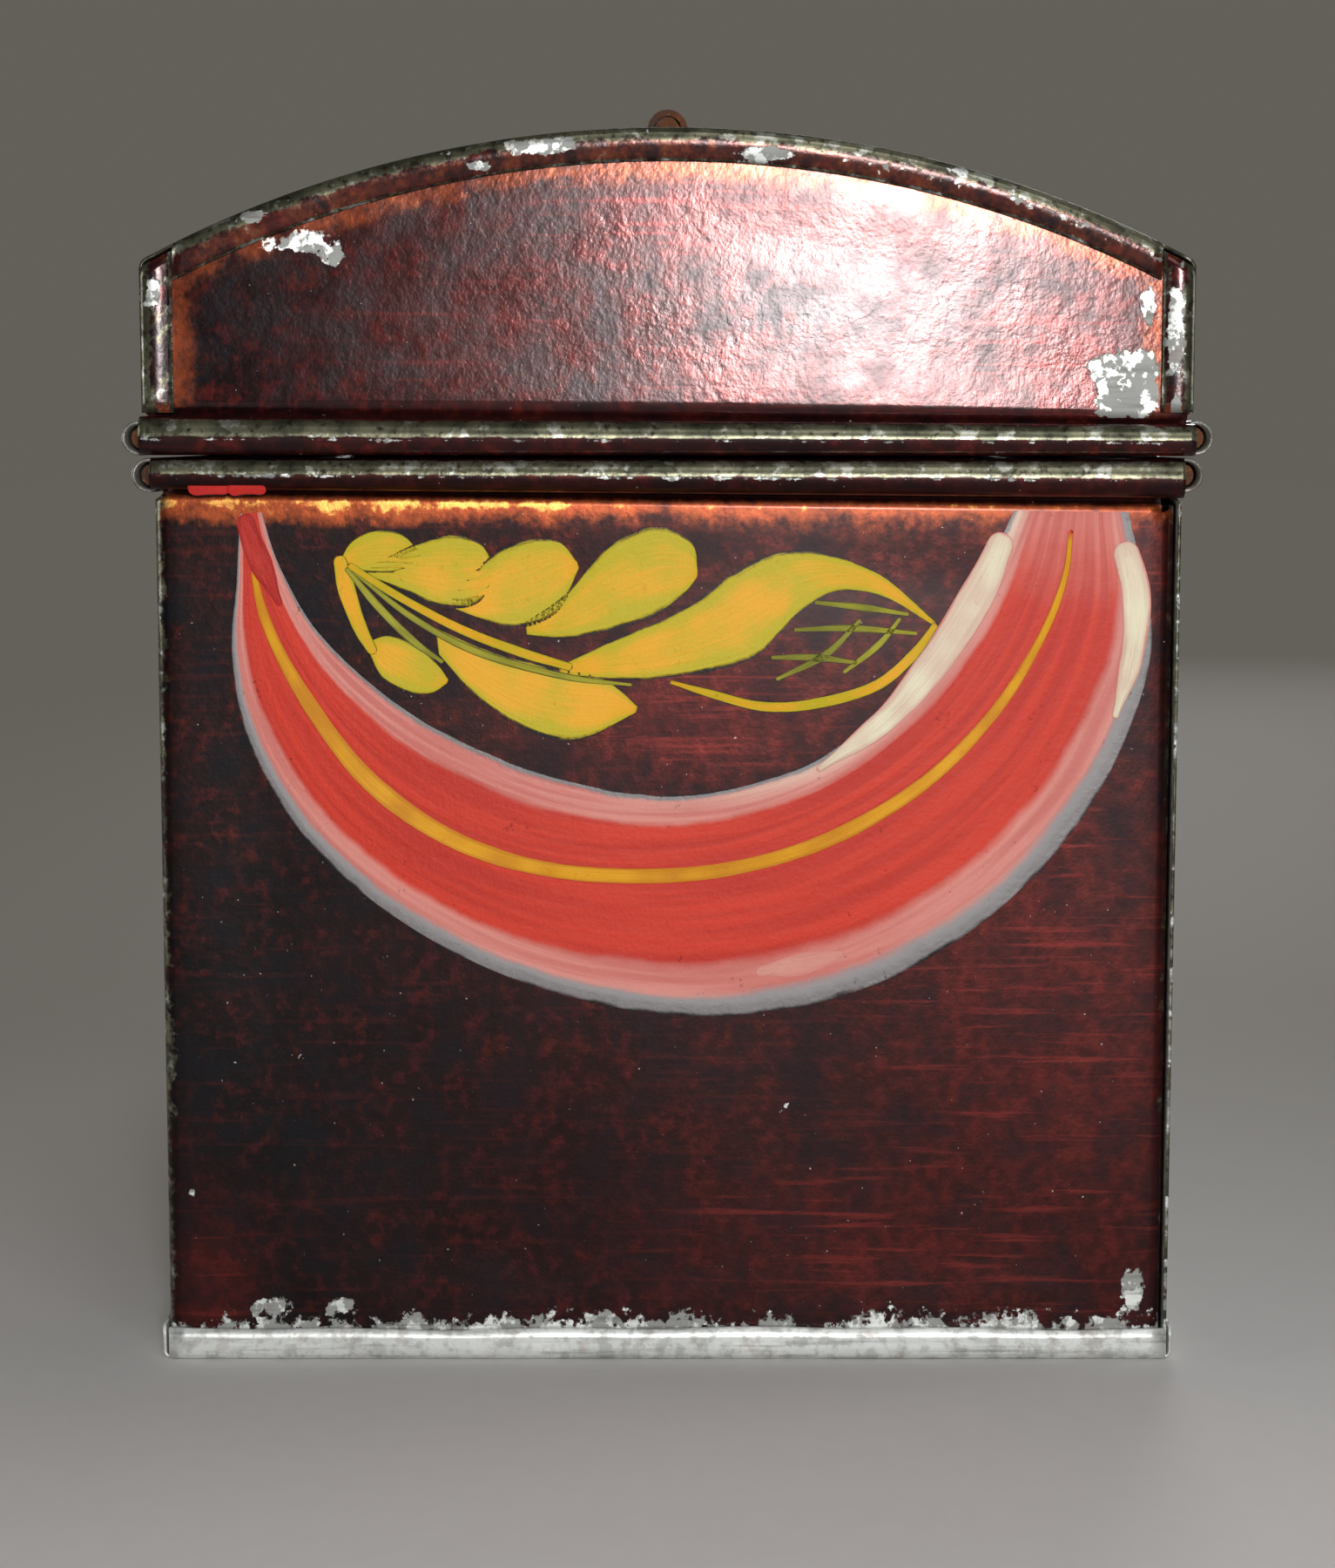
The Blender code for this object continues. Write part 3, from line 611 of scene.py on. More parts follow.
# %% [markdown]
# ## Sizes of the tin work
# The sheets are made again here with a finer grid, so that they can be a little uneven and can carry the
# wear. Their sizes are the model's own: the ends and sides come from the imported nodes, and the rolls and
# folds from the tinsmith's rules that made them.

# %% Read the sizes
SHEET = 0.4 * MM
GAP = 0.3 * MM
ROLL_BORE = 1.6 * MM
ROLL_RADIUS = ROLL_BORE + SHEET
ROLL_SWEEP = radians(305)
NECK_DEPTH = 0.8 * MM
NECK_NEAR = ROLL_RADIUS + 0.1 * MM
NECK_FAR = NECK_NEAR + 0.8 * MM
ROLL_OUT = ROLL_BORE - NECK_DEPTH
ROLL_SETBACK = 2.0 * MM
CORNER_RADIUS = 1.6 * MM
SEAM_LAP = 6.0 * MM
BEND_RADIUS = 0.8 * MM
BAND_WIDTH = 3.8 * MM
BAND_SLIT = 0.2 * MM
BAND_BULGE = 0.45 * MM
SHOULDER_RADIUS = 1.5 * MM

body_low, body_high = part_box("body_front_and_right")
BODY_END = body_high.x - ROLL_OUT - ROLL_RADIUS
BODY_SIDE = -body_low.y - ROLL_OUT - ROLL_RADIUS
BODY_TOP = body_high.z
WALL_FOOT = body_low.z
lid_low, lid_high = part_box("lid_dome")
LID_END = lid_high.x
LID_SIDE = lid_high.y - ROLL_OUT - ROLL_RADIUS
LID_FOOT = lid_low.z
DOME_TOP = lid_high.z
DOME_RISE = 15.0 * MM
SHOULDER = DOME_TOP - DOME_RISE
DOME_RADIUS = (LID_SIDE**2 + (DOME_TOP - SHOULDER) ** 2) / (2 * (DOME_TOP - SHOULDER))
DOME_CENTRE = DOME_TOP - DOME_RADIUS
LID_PANEL = LID_END - SHEET - GAP
ROLL_STOP = BODY_END - ROLL_SETBACK
print("body in mm:", [round(v / MM, 2) for v in (BODY_END, BODY_SIDE, BODY_TOP)])
print("lid in mm:", [round(v / MM, 2) for v in (LID_END, LID_SIDE, LID_FOOT, DOME_TOP)])

# %% [markdown]
# ## A sheet of metal
# A sheet is a grid of points, and a cut-out is a cell left out. Solidify gives it a thickness, and each
# point also stores the four numbers that the japan finish reads. Solidify takes the finish of the second
# face from the next slot down, so the slots are varnish, plain tin, varnish. Where a roll turns the sheet
# inside out, its cells start from the middle slot, and the varnish is still on the side that shows.


# %% Helper: folded sheet
def arc(middle, radius, start, sweep, steps):
    angles = [start + sweep * k / steps for k in range(steps + 1)]
    return [(middle[0] + radius * cos(a), middle[1] + radius * sin(a)) for a in angles]


def steps_between(low, high, step):
    """Even stations strictly between two ends."""
    count = max(1, round((high - low) / step))
    return [low + (high - low) * k / count for k in range(1, count)]


def folded_sheet(name, columns, rows, point, keep, wear, curled=lambda i, j: False):
    """wear gives how bare, rubbed, thin and red a point is; curled says which cells are inside out."""
    grid = bmesh.new()
    made = {}
    amounts = []

    def corner(i, j):
        if (i, j) not in made:
            place = point(i, j)
            made[i, j] = grid.verts.new(place)
            amounts.append(wear(i, j, place))
        return made[i, j]

    for i in range(columns - 1):
        for j in range(rows - 1):
            if keep(i, j):
                ring = (i, j), (i + 1, j), (i + 1, j + 1), (i, j + 1)
                grid.faces.new([corner(*at) for at in ring]).material_index = int(curled(i, j))
    mesh = bpy.data.meshes.new(name)
    grid.to_mesh(mesh)
    grid.free()
    for number, label in enumerate(("bare", "rubbed", "thin", "glow")):
        store = mesh.attributes.new(label, "FLOAT", "POINT")
        store.data.foreach_set("value", [row[number] for row in amounts])
    sheet = bpy.data.objects.new(name, mesh)
    bpy.context.collection.objects.link(sheet)
    solid = sheet.modifiers.new("thickness", "SOLIDIFY")
    solid.thickness = SHEET
    solid.offset = -1.0
    solid.use_even_offset = True
    solid.material_offset = 1
    mesh.shade_smooth()
    mesh.set_sharp_from_angle(angle=radians(50))
    return sheet


def dress(piece, material, body, node):
    """Gives a piece its finish and its body, and hides the node that it stands for."""
    for finish in (material, INSIDE_TIN, material):
        piece.data.materials.append(finish)
    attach(piece, body)
    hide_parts(node)
    print(piece.name, "rides on", body)


# %% [markdown]
# ## Wear by hand
# A spot is a soft ellipse of wear at a place on a wall. A list of spots says where the box was knocked.
# Everything else follows a rule: the closer to a fold, a rim or the ground, the more worn.


# %% Helper: spots and soft edges
def spot_value(spots, u, z):
    """The strongest of some soft ellipses (u, z, half width, half height), all in mm."""
    best = 0.0
    for middle_u, middle_z, wide, high in spots:
        far = ((u / MM - middle_u) / wide) ** 2 + ((z / MM - middle_z) / high) ** 2
        if far < 6:
            best = max(best, exp(-0.7 * far))
    return best


def near(distance, reach):
    """1 at no distance, falling to 0 at the reach."""
    return max(0.0, 1.0 - abs(distance) / reach) ** 1.5


def ease(share):
    share = min(1.0, max(0.0, share))
    return share * share * (3 - 2 * share)


def hollow(u, z, phase):
    """How far a hand-beaten wall sinks in, in metres: a few slow waves, never outwards."""
    wave = sin(u / (17 * MM) + phase) * sin(z / (23 * MM) + 1.7 * phase)
    wave += 0.6 * sin(u / (9 * MM) + 2.3 * phase + z / (14 * MM))
    return 0.11 * MM * (1.6 + wave)


NOT_ROLLED = 9.0
ROLL_STEPS = 18
CREST = radians(28)
CREST_REACH = radians(31)
# A thin line of bare tin near each roll's outermost line: partly polish from hands, partly a painted
# highlight.
POLISH_AND_HIGHLIGHT_TURN = radians(-8)
POLISH_AND_HIGHLIGHT_REACH = radians(17)


def rim_profile(roll_z, upwards):
    """(outward, height, turn) through a wall's groove and round its roll, from the groove's far edge."""
    line = [(0.0, -NECK_FAR, NOT_ROLLED), (-NECK_DEPTH * 0.5, -(NECK_FAR + NECK_NEAR) / 2, NOT_ROLLED)]
    line.append((-NECK_DEPTH, -NECK_NEAR, NOT_ROLLED))
    for k in range(ROLL_STEPS + 1):
        turn = pi - ROLL_SWEEP * k / ROLL_STEPS
        line.append((ROLL_OUT + ROLL_BORE * cos(turn), ROLL_BORE * sin(turn), turn))
    return [(out, roll_z + upwards * rise, turn) for out, rise, turn in line]


def rim_wear(turn, upwards):
    """The four amounts on a roll, by which way its skin faces: 0 is straight out, and more is upwards."""
    if turn == NOT_ROLLED:
        return 0.0, 0.0, 0.1, 0.3
    crest = ease(1.5 - abs(upwards * turn - CREST) / CREST_REACH)
    # the bare line here is partly polish and partly a painted highlight
    polish_and_highlight = near(upwards * turn - POLISH_AND_HIGHLIGHT_TURN, POLISH_AND_HIGHLIGHT_REACH)
    return max(0.08 * crest, 0.52 * polish_and_highlight), 0.92 * crest, 0.0, 0.45


# %% [markdown]
# ## Body walls
# The body is two L-shaped sheets. Each makes one long wall and one end, and slips a soldered lap inside the
# next corner. The tops are rolled outwards round a wire. Hand rolling is never even: the end roll grows
# thicker from one side to the other.

# %% Make the body walls
BODY_ROLL_Z = BODY_TOP - ROLL_RADIUS
WALL_TOP = BODY_ROLL_Z - NECK_FAR
LAP_TOP = WALL_TOP - 2 * GAP
LAP_SIDE = BODY_SIDE - SHEET - GAP
END_ROLL_THIN = 0.875
END_ROLL_THICK = 1.17
FRONT_PHASE = 0.4
BACK_PHASE = 2.1
BODY_SPOTS = [
    (55.2, 8.2, 1.1, 2.4), (-38.5, 6.8, 1.5, 0.9), (-48.0, 6.8, 0.9, 0.8), (-45.5, 6.6, 0.9, 0.7),
    (-56.0, 20.0, 0.5, 0.5), (14.0, 31.0, 0.45, 0.35), (41.0, 16.0, 0.4, 0.4),
]
# Red glow on the body walls. Its spots are partly real red glaze and partly painted light that lightens the
# right of the walls; the even rise towards the right is painted light.
PAINTED_LIGHT_GLOW = 0.36
BODY_GLOW_AND_PAINTED_LIGHT = [
    (26.0, 15.0, 30.0, 9.0), (40.0, 52.0, 16.0, 26.0), (4.0, 78.0, 18.0, 8.0), (50.0, 97.0, 14.0, 8.0),
    (-54.0, 8.0, 4.0, 8.0), (50.0, 34.0, 26.0, 34.0),
]


def end_share(y):
    """0 at the front corner and 1 at the back one."""
    return min(1.0, max(0.0, (y + BODY_SIDE) / (2 * BODY_SIDE)))


def body_rim_drop(y, z):
    """How far the uneven roll moves a point of the end wall down."""
    scale = END_ROLL_THIN + (END_ROLL_THICK - END_ROLL_THIN) * end_share(y)
    reach = BODY_TOP - WALL_TOP
    below = BODY_TOP - z
    fade = 1.0 if below <= reach else ease(1.0 - (below - reach) / (12 * MM))
    return (scale - 1.0) * min(below, reach) * fade


def wall_sag(u, z, half, phase):
    """How far a wall sinks in at a place: nothing at its corners, under its groove and at its foot."""
    fade = ease((half - abs(u)) / (12 * MM)) * ease((LAP_TOP - z) / (10 * MM))
    return fade * ease((z - 4 * MM) / (10 * MM)) * hollow(u, z, phase)


def body_wear(u, z, wall_half):
    """Wear on a flat wall of the body by distance along it from its middle and by height."""
    side = wall_half - abs(u)
    low = near(z - 3.0 * MM, (6.5 + 1.5 * ease(u / (40 * MM))) * MM)
    bare = max(0.72 * low, 0.40 * near(side, 1.6 * MM))
    rubbed = max(0.66 * near(side, 3.6 * MM), 0.5 * near(z - 3.0 * MM, 7 * MM))
    under_rim = WALL_TOP - z
    golden = 1.0 if wall_half < BODY_END and u < -12 * MM else 0.72
    thin = golden * near(under_rim - 0.6 * MM, 3.4 * MM)
    thin = max(thin, 0.5 * ease((u + 8 * MM) / (30 * MM)) * near(under_rim, 7 * MM))
    return bare, rubbed, thin


def body_sheet(name, turn, spots, phase):
    """A long wall and the end round its corner, with a lap past the next corner."""
    lap_corner = LAP_SIDE - CORNER_RADIUS
    first_corner = -BODY_SIDE + CORNER_RADIUS
    along = [-BODY_END, -ROLL_STOP, *steps_between(-ROLL_STOP, ROLL_STOP, 3.0 * MM), ROLL_STOP]
    stations = []
    for k, x in enumerate(along):
        zone = "edge" if k in (0, len(along) - 1) else "wall"
        stations.append((Vector((x, -BODY_SIDE)), Vector((0, -1)), zone, None, 0.0))
    corners = (
        (first_corner, -pi / 2, "corner", -BODY_SIDE, first_corner),
        (lap_corner, 0.0, "turn", lap_corner, BODY_SIDE),
    )
    for middle_y, start, zone, first, last in corners:
        middle = Vector((BODY_END - CORNER_RADIUS, middle_y))
        for k in range(7):
            angle = start + pi / 2 * k / 6
            normal = Vector((cos(angle), sin(angle)))
            after = {"corner": "end", "turn": "lap"}[zone] if k == 6 else zone
            weight = k / 6 if zone == "corner" else 1.0 - k / 6
            straight = first + (last - first) * k / 6
            stations.append((middle + normal * CORNER_RADIUS, normal, after, straight, weight))
        if zone == "corner":
            for y in steps_between(first_corner, lap_corner, 1.3 * MM):
                stations.append((Vector((BODY_END, y)), Vector((1, 0)), "end", y, 1.0))
    lap_x = BODY_END - CORNER_RADIUS - SEAM_LAP
    stations.append((Vector((lap_x, LAP_SIDE)), Vector((0, 1)), "lap", None, 0.0))

    heights = [WALL_FOOT, *steps_between(WALL_FOOT, LAP_TOP, 1.5 * MM), LAP_TOP]
    wall = [(0.0, z, NOT_ROLLED) for z in heights]
    levels = wall + rim_profile(BODY_ROLL_Z, 1)
    lap_row = len(wall) - 1
    top_row = lap_row + 1
    roll_row = top_row + 3
    turned = Matrix.Rotation(turn, 3, "Z")

    def point(i, j):
        place, normal, zone, straight, weight = stations[i]
        out, z, _ = levels[j]
        if j >= roll_row and straight is not None:
            place, normal, weight = Vector((BODY_END, straight)), Vector((1, 0)), 1.0
        if straight is not None:
            z -= weight * body_rim_drop(place.y, z)
        if j <= lap_row and zone == "wall":
            out -= wall_sag(place.x, z, ROLL_STOP, phase)
        if j <= lap_row and zone == "end":
            out -= wall_sag(place.y, z, lap_corner, phase + 1.0)
        flat = place + normal * out
        return turned @ Vector((flat.x, flat.y, z))

    def keep(i, j):
        zone = stations[i][2]
        if zone == "lap" or (zone == "turn" and j < roll_row):
            return j < lap_row
        if zone == "edge" or (zone == "corner" and j < roll_row):
            return j < top_row
        return True

    def wear(i, j, place):
        _, _, zone, straight, _ = stations[i]
        x, y, _ = turned.inverted() @ place
        on_end = straight is not None
        u = y if on_end else x
        if j > top_row:
            return rim_wear(levels[j][2], 1)
        bare, rubbed, thin = body_wear(u, place.z, BODY_SIDE if on_end else BODY_END)
        if on_end:
            bare = max(bare, spot_value(spots, u, place.z))
        # painted light: the red glow rises towards the right of each wall, lightening that side
        painted_light_ramp = PAINTED_LIGHT_GLOW * ease((u + 50 * MM) / (60 * MM))
        glow = max(spot_value(BODY_GLOW_AND_PAINTED_LIGHT, u, place.z), painted_light_ramp)
        return bare, rubbed, thin, glow

    return folded_sheet(name, len(stations), len(levels), point, keep, wear, lambda i, j: j >= roll_row)


front_and_right = body_sheet("body_walls_front_and_right", 0.0, BODY_SPOTS, FRONT_PHASE)
dress(front_and_right, JAPAN_BODY, "box", "body_front_and_right")
back_and_left = body_sheet("body_walls_back_and_left", pi, [], BACK_PHASE)
dress(back_and_left, JAPAN_BODY, "box", "body_back_and_left")

# %% [markdown]
# ## Bottom pan
# The bottom is a shallow tray, its edges turned up outside the walls. It has rubbed on every table the box
# ever stood on, so the tin is bare, and the cut edge is not quite straight.

# %% Make the bottom pan
PAN_FLANGE = 4.1 * MM


def bottom_pan():
    def edge_to_edge(half, step):
        side = [(half, PAN_FLANGE), (half, 0.66 * PAN_FLANGE), (half, 0.4 * PAN_FLANGE)]
        side += arc((half - BEND_RADIUS, BEND_RADIUS), BEND_RADIUS, 0.0, -pi / 2, 4)
        middle = [(x, 0.0) for x in steps_between(-side[-1][0], side[-1][0], step)]
        return [(-reach, z) for reach, z in side] + middle + side[::-1], len(side)

    across, edge = edge_to_edge(BODY_SIDE + GAP + SHEET, 2.0 * MM)
    along, _ = edge_to_edge(BODY_END + GAP + SHEET, 3.0 * MM)

    def wavy(u, lift):
        return -0.25 * MM * (lift / PAN_FLANGE) ** 3 * (1 + sin(u / (6 * MM)) * sin(u / (11 * MM)))

    def point(i, j):
        x, x_lift = along[j]
        y, y_lift = across[i]
        lift = x_lift + y_lift
        return Vector((x, y, lift + wavy(x + y, lift)))

    def keep(i, j):
        return edge - 1 <= i < len(across) - edge or edge - 1 <= j < len(along) - edge

    def wear(i, j, place):
        return 1.0, 0.0, 0.0, 0.0

    return folded_sheet("bottom_tray", len(across), len(along), point, keep, wear)


dress(bottom_pan(), WORN_TIN, "box", "bottom_pan")

# %% [markdown]
# ## Lid
# One long sheet goes up the front, over the dome and down the back. Its line is drawn first: a straight
# skirt, a small bend at the shoulder, and the arc of the dome, then the same again on the way down.

# %% Draw the line over the dome
LID_ROLL_Z = LID_FOOT + ROLL_RADIUS
BEND_STEPS = 6
DOME_PHASE = 3.1


def rounded(points, radius):
    """A line through the points, with each corner between them turned to the radius."""
    points = [Vector(p) for p in points]
    line = [points[0]]
    for before, corner, after in zip(points, points[1:], points[2:]):
        into = (corner - before).normalized()
        away = (after - corner).normalized()
        turn = acos(max(-1.0, min(1.0, into.dot(away))))
        back = radius * tan(turn / 2)
        middle = corner + (away - into).normalized() * (radius / cos(turn / 2))
        start = corner - into * back - middle
        end = corner + away * back - middle
        for k in range(BEND_STEPS + 1):
            share = k / BEND_STEPS
            weights = sin((1 - share) * turn) / sin(turn), sin(share * turn) / sin(turn)
            line.append(middle + start * weights[0] + end * weights[1])
    return [*line, points[-1]]


def dome_line():
    """(y, z, inward direction, zone) over the lid's outer face: front skirt and dome, then back skirt."""
    slit_y = LID_SIDE - BAND_WIDTH - BAND_SLIT
    slit_angle = asin(slit_y / DOME_RADIUS)
    top = arc((0, DOME_CENTRE), DOME_RADIUS, pi / 2 + slit_angle, -2 * slit_angle, 100)
    foot = LID_ROLL_Z + NECK_FAR
    shoulder = rounded([(-LID_SIDE, foot), (-LID_SIDE, SHOULDER), top[0]], SHOULDER_RADIUS)[:-1]
    slope = tan(asin(LID_SIDE / DOME_RADIUS))
    line = [(-LID_SIDE, foot, Vector((1, 0)), "skirt")]
    top_of_skirt = shoulder[1].y
    for z in steps_between(foot, top_of_skirt, 1.2 * MM):
        line.append((-LID_SIDE, z, Vector((1, slope * (z - foot) / (top_of_skirt - foot))), "skirt"))
    for y, z in shoulder[1:]:
        line.append((y, z, Vector((1, slope if (y, z) == tuple(shoulder[1]) else 0)), "shoulder"))
    for y, z in top:
        inward = (Vector((0, DOME_CENTRE)) - Vector((y, z))).normalized()
        line.append((y, z, inward, "dome"))
    count = len(line) - len(top)
    back = [(-y, z, Vector((-i.x, i.y)), zone) for y, z, i, zone in reversed(line[:count])]
    return line, back


print("points over the front and dome:", len(dome_line()[0]))

# %% [markdown]
# ## The lid's long sheet
# At both ends a narrow band of the sheet is folded down over a flat end panel, with a slit at each shoulder
# so that it can bend. The bands are the most knocked edges of the box, so they get the most wear. The
# roll along the back is cut away for the two hinges.

# %% Make the lid's long sheet
BAND_SPOTS = [
    (-14.0, 141.8, 4.2, 0.9), (-21.5, 139.6, 1.4, 0.7), (11.0, 140.9, 3.4, 0.8), (-58.6, 125.5, 0.8, 1.8),
    (33.0, 139.0, 1.2, 0.5), (-47.0, 134.0, 1.4, 0.8), (58.0, 121.0, 0.9, 4.6), (58.2, 112.0, 0.6, 2.0),
]
HINGE_OFFSET = 62.0 * MM
HINGE_NOTCH = 8.8 * MM


def dome_sag(x, y):
    """How far the dome sinks in at a place: nothing at its ends or under the ears of the handle."""
    fade = ease((LID_END - abs(x)) / (16 * MM)) * ease(abs(abs(x) - 45 * MM) / (14 * MM))
    return fade * hollow(x, y, DOME_PHASE) * 1.6


def lid_dome():
    front_and_dome, back = dome_line()
    slit_y = LID_SIDE - BAND_WIDTH - BAND_SLIT
    rim = rim_profile(LID_ROLL_Z, -1)[1:]
    line = [(-LID_SIDE - out, z, Vector((1, 0)), "rim", a) for out, z, a in reversed(rim)]
    line += [(*entry, NOT_ROLLED) for entry in front_and_dome + back]
    line += [(LID_SIDE + out, z, Vector((-1, 0)), "rim", a) for out, z, a in rim]
    inner, outer = HINGE_OFFSET - HINGE_NOTCH, HINGE_OFFSET + HINGE_NOTCH
    half = [*steps_between(0, inner, 4 * MM), inner, *steps_between(inner, outer, 4 * MM), outer]
    half = [(x, 0.0) for x in [*half, *steps_between(outer, ROLL_STOP, 4 * MM), ROLL_STOP]]
    half += arc((LID_END - BEND_RADIUS, BEND_RADIUS), BEND_RADIUS, -pi / 2, pi / 2, BEND_STEPS)
    half += [(LID_END, inset) for inset in steps_between(BEND_RADIUS, BAND_WIDTH, 0.5 * MM)]
    half += [(LID_END, BAND_WIDTH)]
    stations = [(-x, inset) for x, inset in reversed(half)] + [(0.0, 0.0)] + half

    def point(i, j):
        x, inset = stations[i]
        y, z, inward, zone, _ = line[j]
        if inset and zone != "rim":
            x += (1 if x > 0 else -1) * BAND_BULGE * sin(pi * (inset / BAND_WIDTH) ** 0.8)
        if inset and zone == "dome":
            side = -1 if y < 0 else 1
            ends_in = (slit_y - abs(y)) / (6 * MM)
            if ends_in < 1.0:
                upright = inset * abs(inward.x) * (1 - ease(ends_in))
                straight_y = y + inward.x * inset + side * upright
                inner = DOME_RADIUS - inset
                return Vector((x, straight_y, DOME_CENTRE + sqrt(inner**2 - straight_y**2)))
        if inset == 0.0 and zone == "dome":
            sunk = dome_sag(x, y)
            y += inward.x * sunk
            z += inward.y * sunk
        return Vector((x, y + inward.x * inset, z + inward.y * inset))

    def keep(i, j):
        zones = {line[j][3], line[j + 1][3]}
        middle_x = abs(stations[i][0] + stations[i + 1][0]) / 2
        turned_down = max(stations[i][1], stations[i + 1][1]) > BEND_RADIUS / 20
        in_band = turned_down and middle_x > LID_END - BEND_RADIUS
        if "rim" in zones:
            behind = j > len(line) // 2
            return middle_x <= ROLL_STOP and not (behind and inner < middle_x < outer)
        if "shoulder" in zones and zones != {"skirt", "shoulder"}:
            return not in_band
        return True

    def wear(i, j, place):
        x, inset = stations[i]
        _, _, _, zone, turn = line[j]
        if zone == "rim":
            return rim_wear(turn, -1)
        from_fold = abs(LID_END - abs(x)) + inset
        rubbed = 0.85 * near(from_fold - 0.6 * MM, 2.6 * MM)
        bare = 0.30 * near(from_fold - 0.6 * MM, 1.6 * MM)
        thin = 0.24 if inset else 0.0
        if inset:
            raw_edge = near(BAND_WIDTH - inset, 1.0 * MM)
            rubbed = max(rubbed, 0.7 * raw_edge, 0.40 if zone == "skirt" else 0.28)
            # painted highlight: on the right end, a streak of bare tin along the middle of the band, growing
            # towards the back
            painted_highlight_streak = ease((place.y - 6 * MM) / (20 * MM)) if x > 0 else 0.0
            bare = max(bare, 0.5 * painted_highlight_streak * near(inset - 1.9 * MM, 2.2 * MM))
            dented = spot_value(BAND_SPOTS, place.y if x > 0 else -place.y, place.z)
            bare = max(bare, 0.48 * raw_edge, dented)
        shoulder = near(sqrt((abs(place.y) - LID_SIDE) ** 2 + (place.z - SHOULDER) ** 2), 3.5 * MM)
        rubbed = max(rubbed, 0.75 * shoulder)
        bare = max(bare, 0.45 * shoulder)
        if zone == "skirt":
            thin = 0.7 * near(place.z - LID_ROLL_Z - NECK_FAR, 2 * MM)
        return bare, rubbed, thin, 0.25

    def curled(i, j):
        return NOT_ROLLED not in (line[j][4], line[j + 1][4])

    return folded_sheet("lid_top", len(stations), len(line), point, keep, wear, curled)


dress(lid_dome(), JAPAN_LID, "lid", "lid_dome")

# %% [markdown]
# ## The lid's end panels
# Each end is a flat sheet under the folded band, with its top cut to the dome and its foot rolled round a
# wire. The varnish was wiped thin where it meets the band. Two bare patches on the right end are old knocks.

# %% Make the lid's end panels
LID_ROLL_THICK = 1.14
LID_ROLL_THIN = 0.88
LID_END_SPOTS = [
    (-42.0, 131.0, 3.6, 1.2), (-38.5, 129.6, 1.6, 0.9), (50.8, 116.6, 2.6, 2.3),
    (54.0, 116.8, 2.2, 2.2), (51.0, 113.0, 2.6, 2.2), (54.2, 113.2, 2.2, 2.4), (55.0, 124.0, 1.0, 2.2),
    (0.4, 112.6, 0.7, 0.6), (24.0, 117.5, 0.4, 0.4),
]
LID_GLOW = [
    (10.0, 134.0, 40.0, 6.0), (48.0, 118.0, 12.0, 12.0), (-20.0, 122.0, 14.0, 10.0), (20.0, 114.0, 30.0, 4.0),
]
LEFT_END_SPOTS = [(30.0, 122.0, 2.0, 1.0)]


def lid_panel(name, turn, spots, phase):
    """A flat end of the lid; turn is 0 for the right end."""
    fit_y = LID_SIDE - SHEET - GAP
    inside = DOME_RADIUS - SHEET - GAP
    slope = asin(fit_y / inside)
    cells = 100
    spread = [inside * sin(slope * (2 * k / cells - 1)) for k in range(cells + 1)]
    across = [-LID_SIDE, *spread, LID_SIDE]
    levels = rim_profile(LID_ROLL_Z, -1)[::-1]
    groove = len(levels) - 1
    climbs = 24
    turned = Matrix.Rotation(turn, 3, "Z")

    def rim_scale(y):
        return LID_ROLL_THICK + (LID_ROLL_THIN - LID_ROLL_THICK) * end_share(y)

    def arch(y):
        clipped = SHOULDER_RADIUS / 2 if abs(y) >= fit_y - GAP else 0.0
        held = max(-fit_y, min(fit_y, y))
        return DOME_CENTRE + sqrt(inside**2 - held**2) - clipped

    def point(i, j):
        y = across[i]
        low = LID_FOOT + (levels[groove][1] - LID_FOOT) * rim_scale(y)
        if j > groove:
            share = (j - groove) / climbs
            z = low + (arch(y) - low) * share
            fade = ease((arch(y) - 4 * MM - z) / (9 * MM)) * ease((fit_y - 4 * MM - abs(y)) / (9 * MM))
            fade *= ease(share * 4)
            return turned @ Vector((LID_PANEL - fade * 0.5 * hollow(y, z, phase), y, z))
        out, z, _ = levels[j]
        return turned @ Vector((LID_PANEL + out, y, LID_FOOT + (z - LID_FOOT) * rim_scale(y)))

    def keep(i, j):
        return j < groove - 3 or 0 < i < len(across) - 2

    def wear(i, j, place):
        y = across[i]
        if j < groove:
            return rim_wear(levels[j][2], -1)
        from_band = min(arch(y) - place.z, fit_y - abs(y)) - BAND_WIDTH + SHEET
        thin = 0.58 * near(from_band - 0.2 * MM, 3.4 * MM)
        return spot_value(spots, y, place.z), 0.0, thin, spot_value(LID_GLOW, y, place.z)

    def curled(i, j):
        return j < groove and NOT_ROLLED not in (levels[j][2], levels[j + 1][2])

    return folded_sheet(name, len(across), groove + climbs + 1, point, keep, wear, curled)


right_panel = lid_panel("lid_panel_right", 0.0, LID_END_SPOTS, 0.9)
dress(right_panel, JAPAN_LID, "lid", "lid_end_right")
left_panel = lid_panel("lid_panel_left", pi, LEFT_END_SPOTS, 4.2)
dress(left_panel, JAPAN_LID, "lid", "lid_end_left")

# %% [markdown]
# ## Painted strokes
# A stroke is a thin skin of paint a tenth of a millimetre above the varnish, between two curves that the
# brush's edges followed. Curves through a few points, spaced evenly, give its outline.


# %% Helper: strokes of paint
CURVE_STEPS = 16


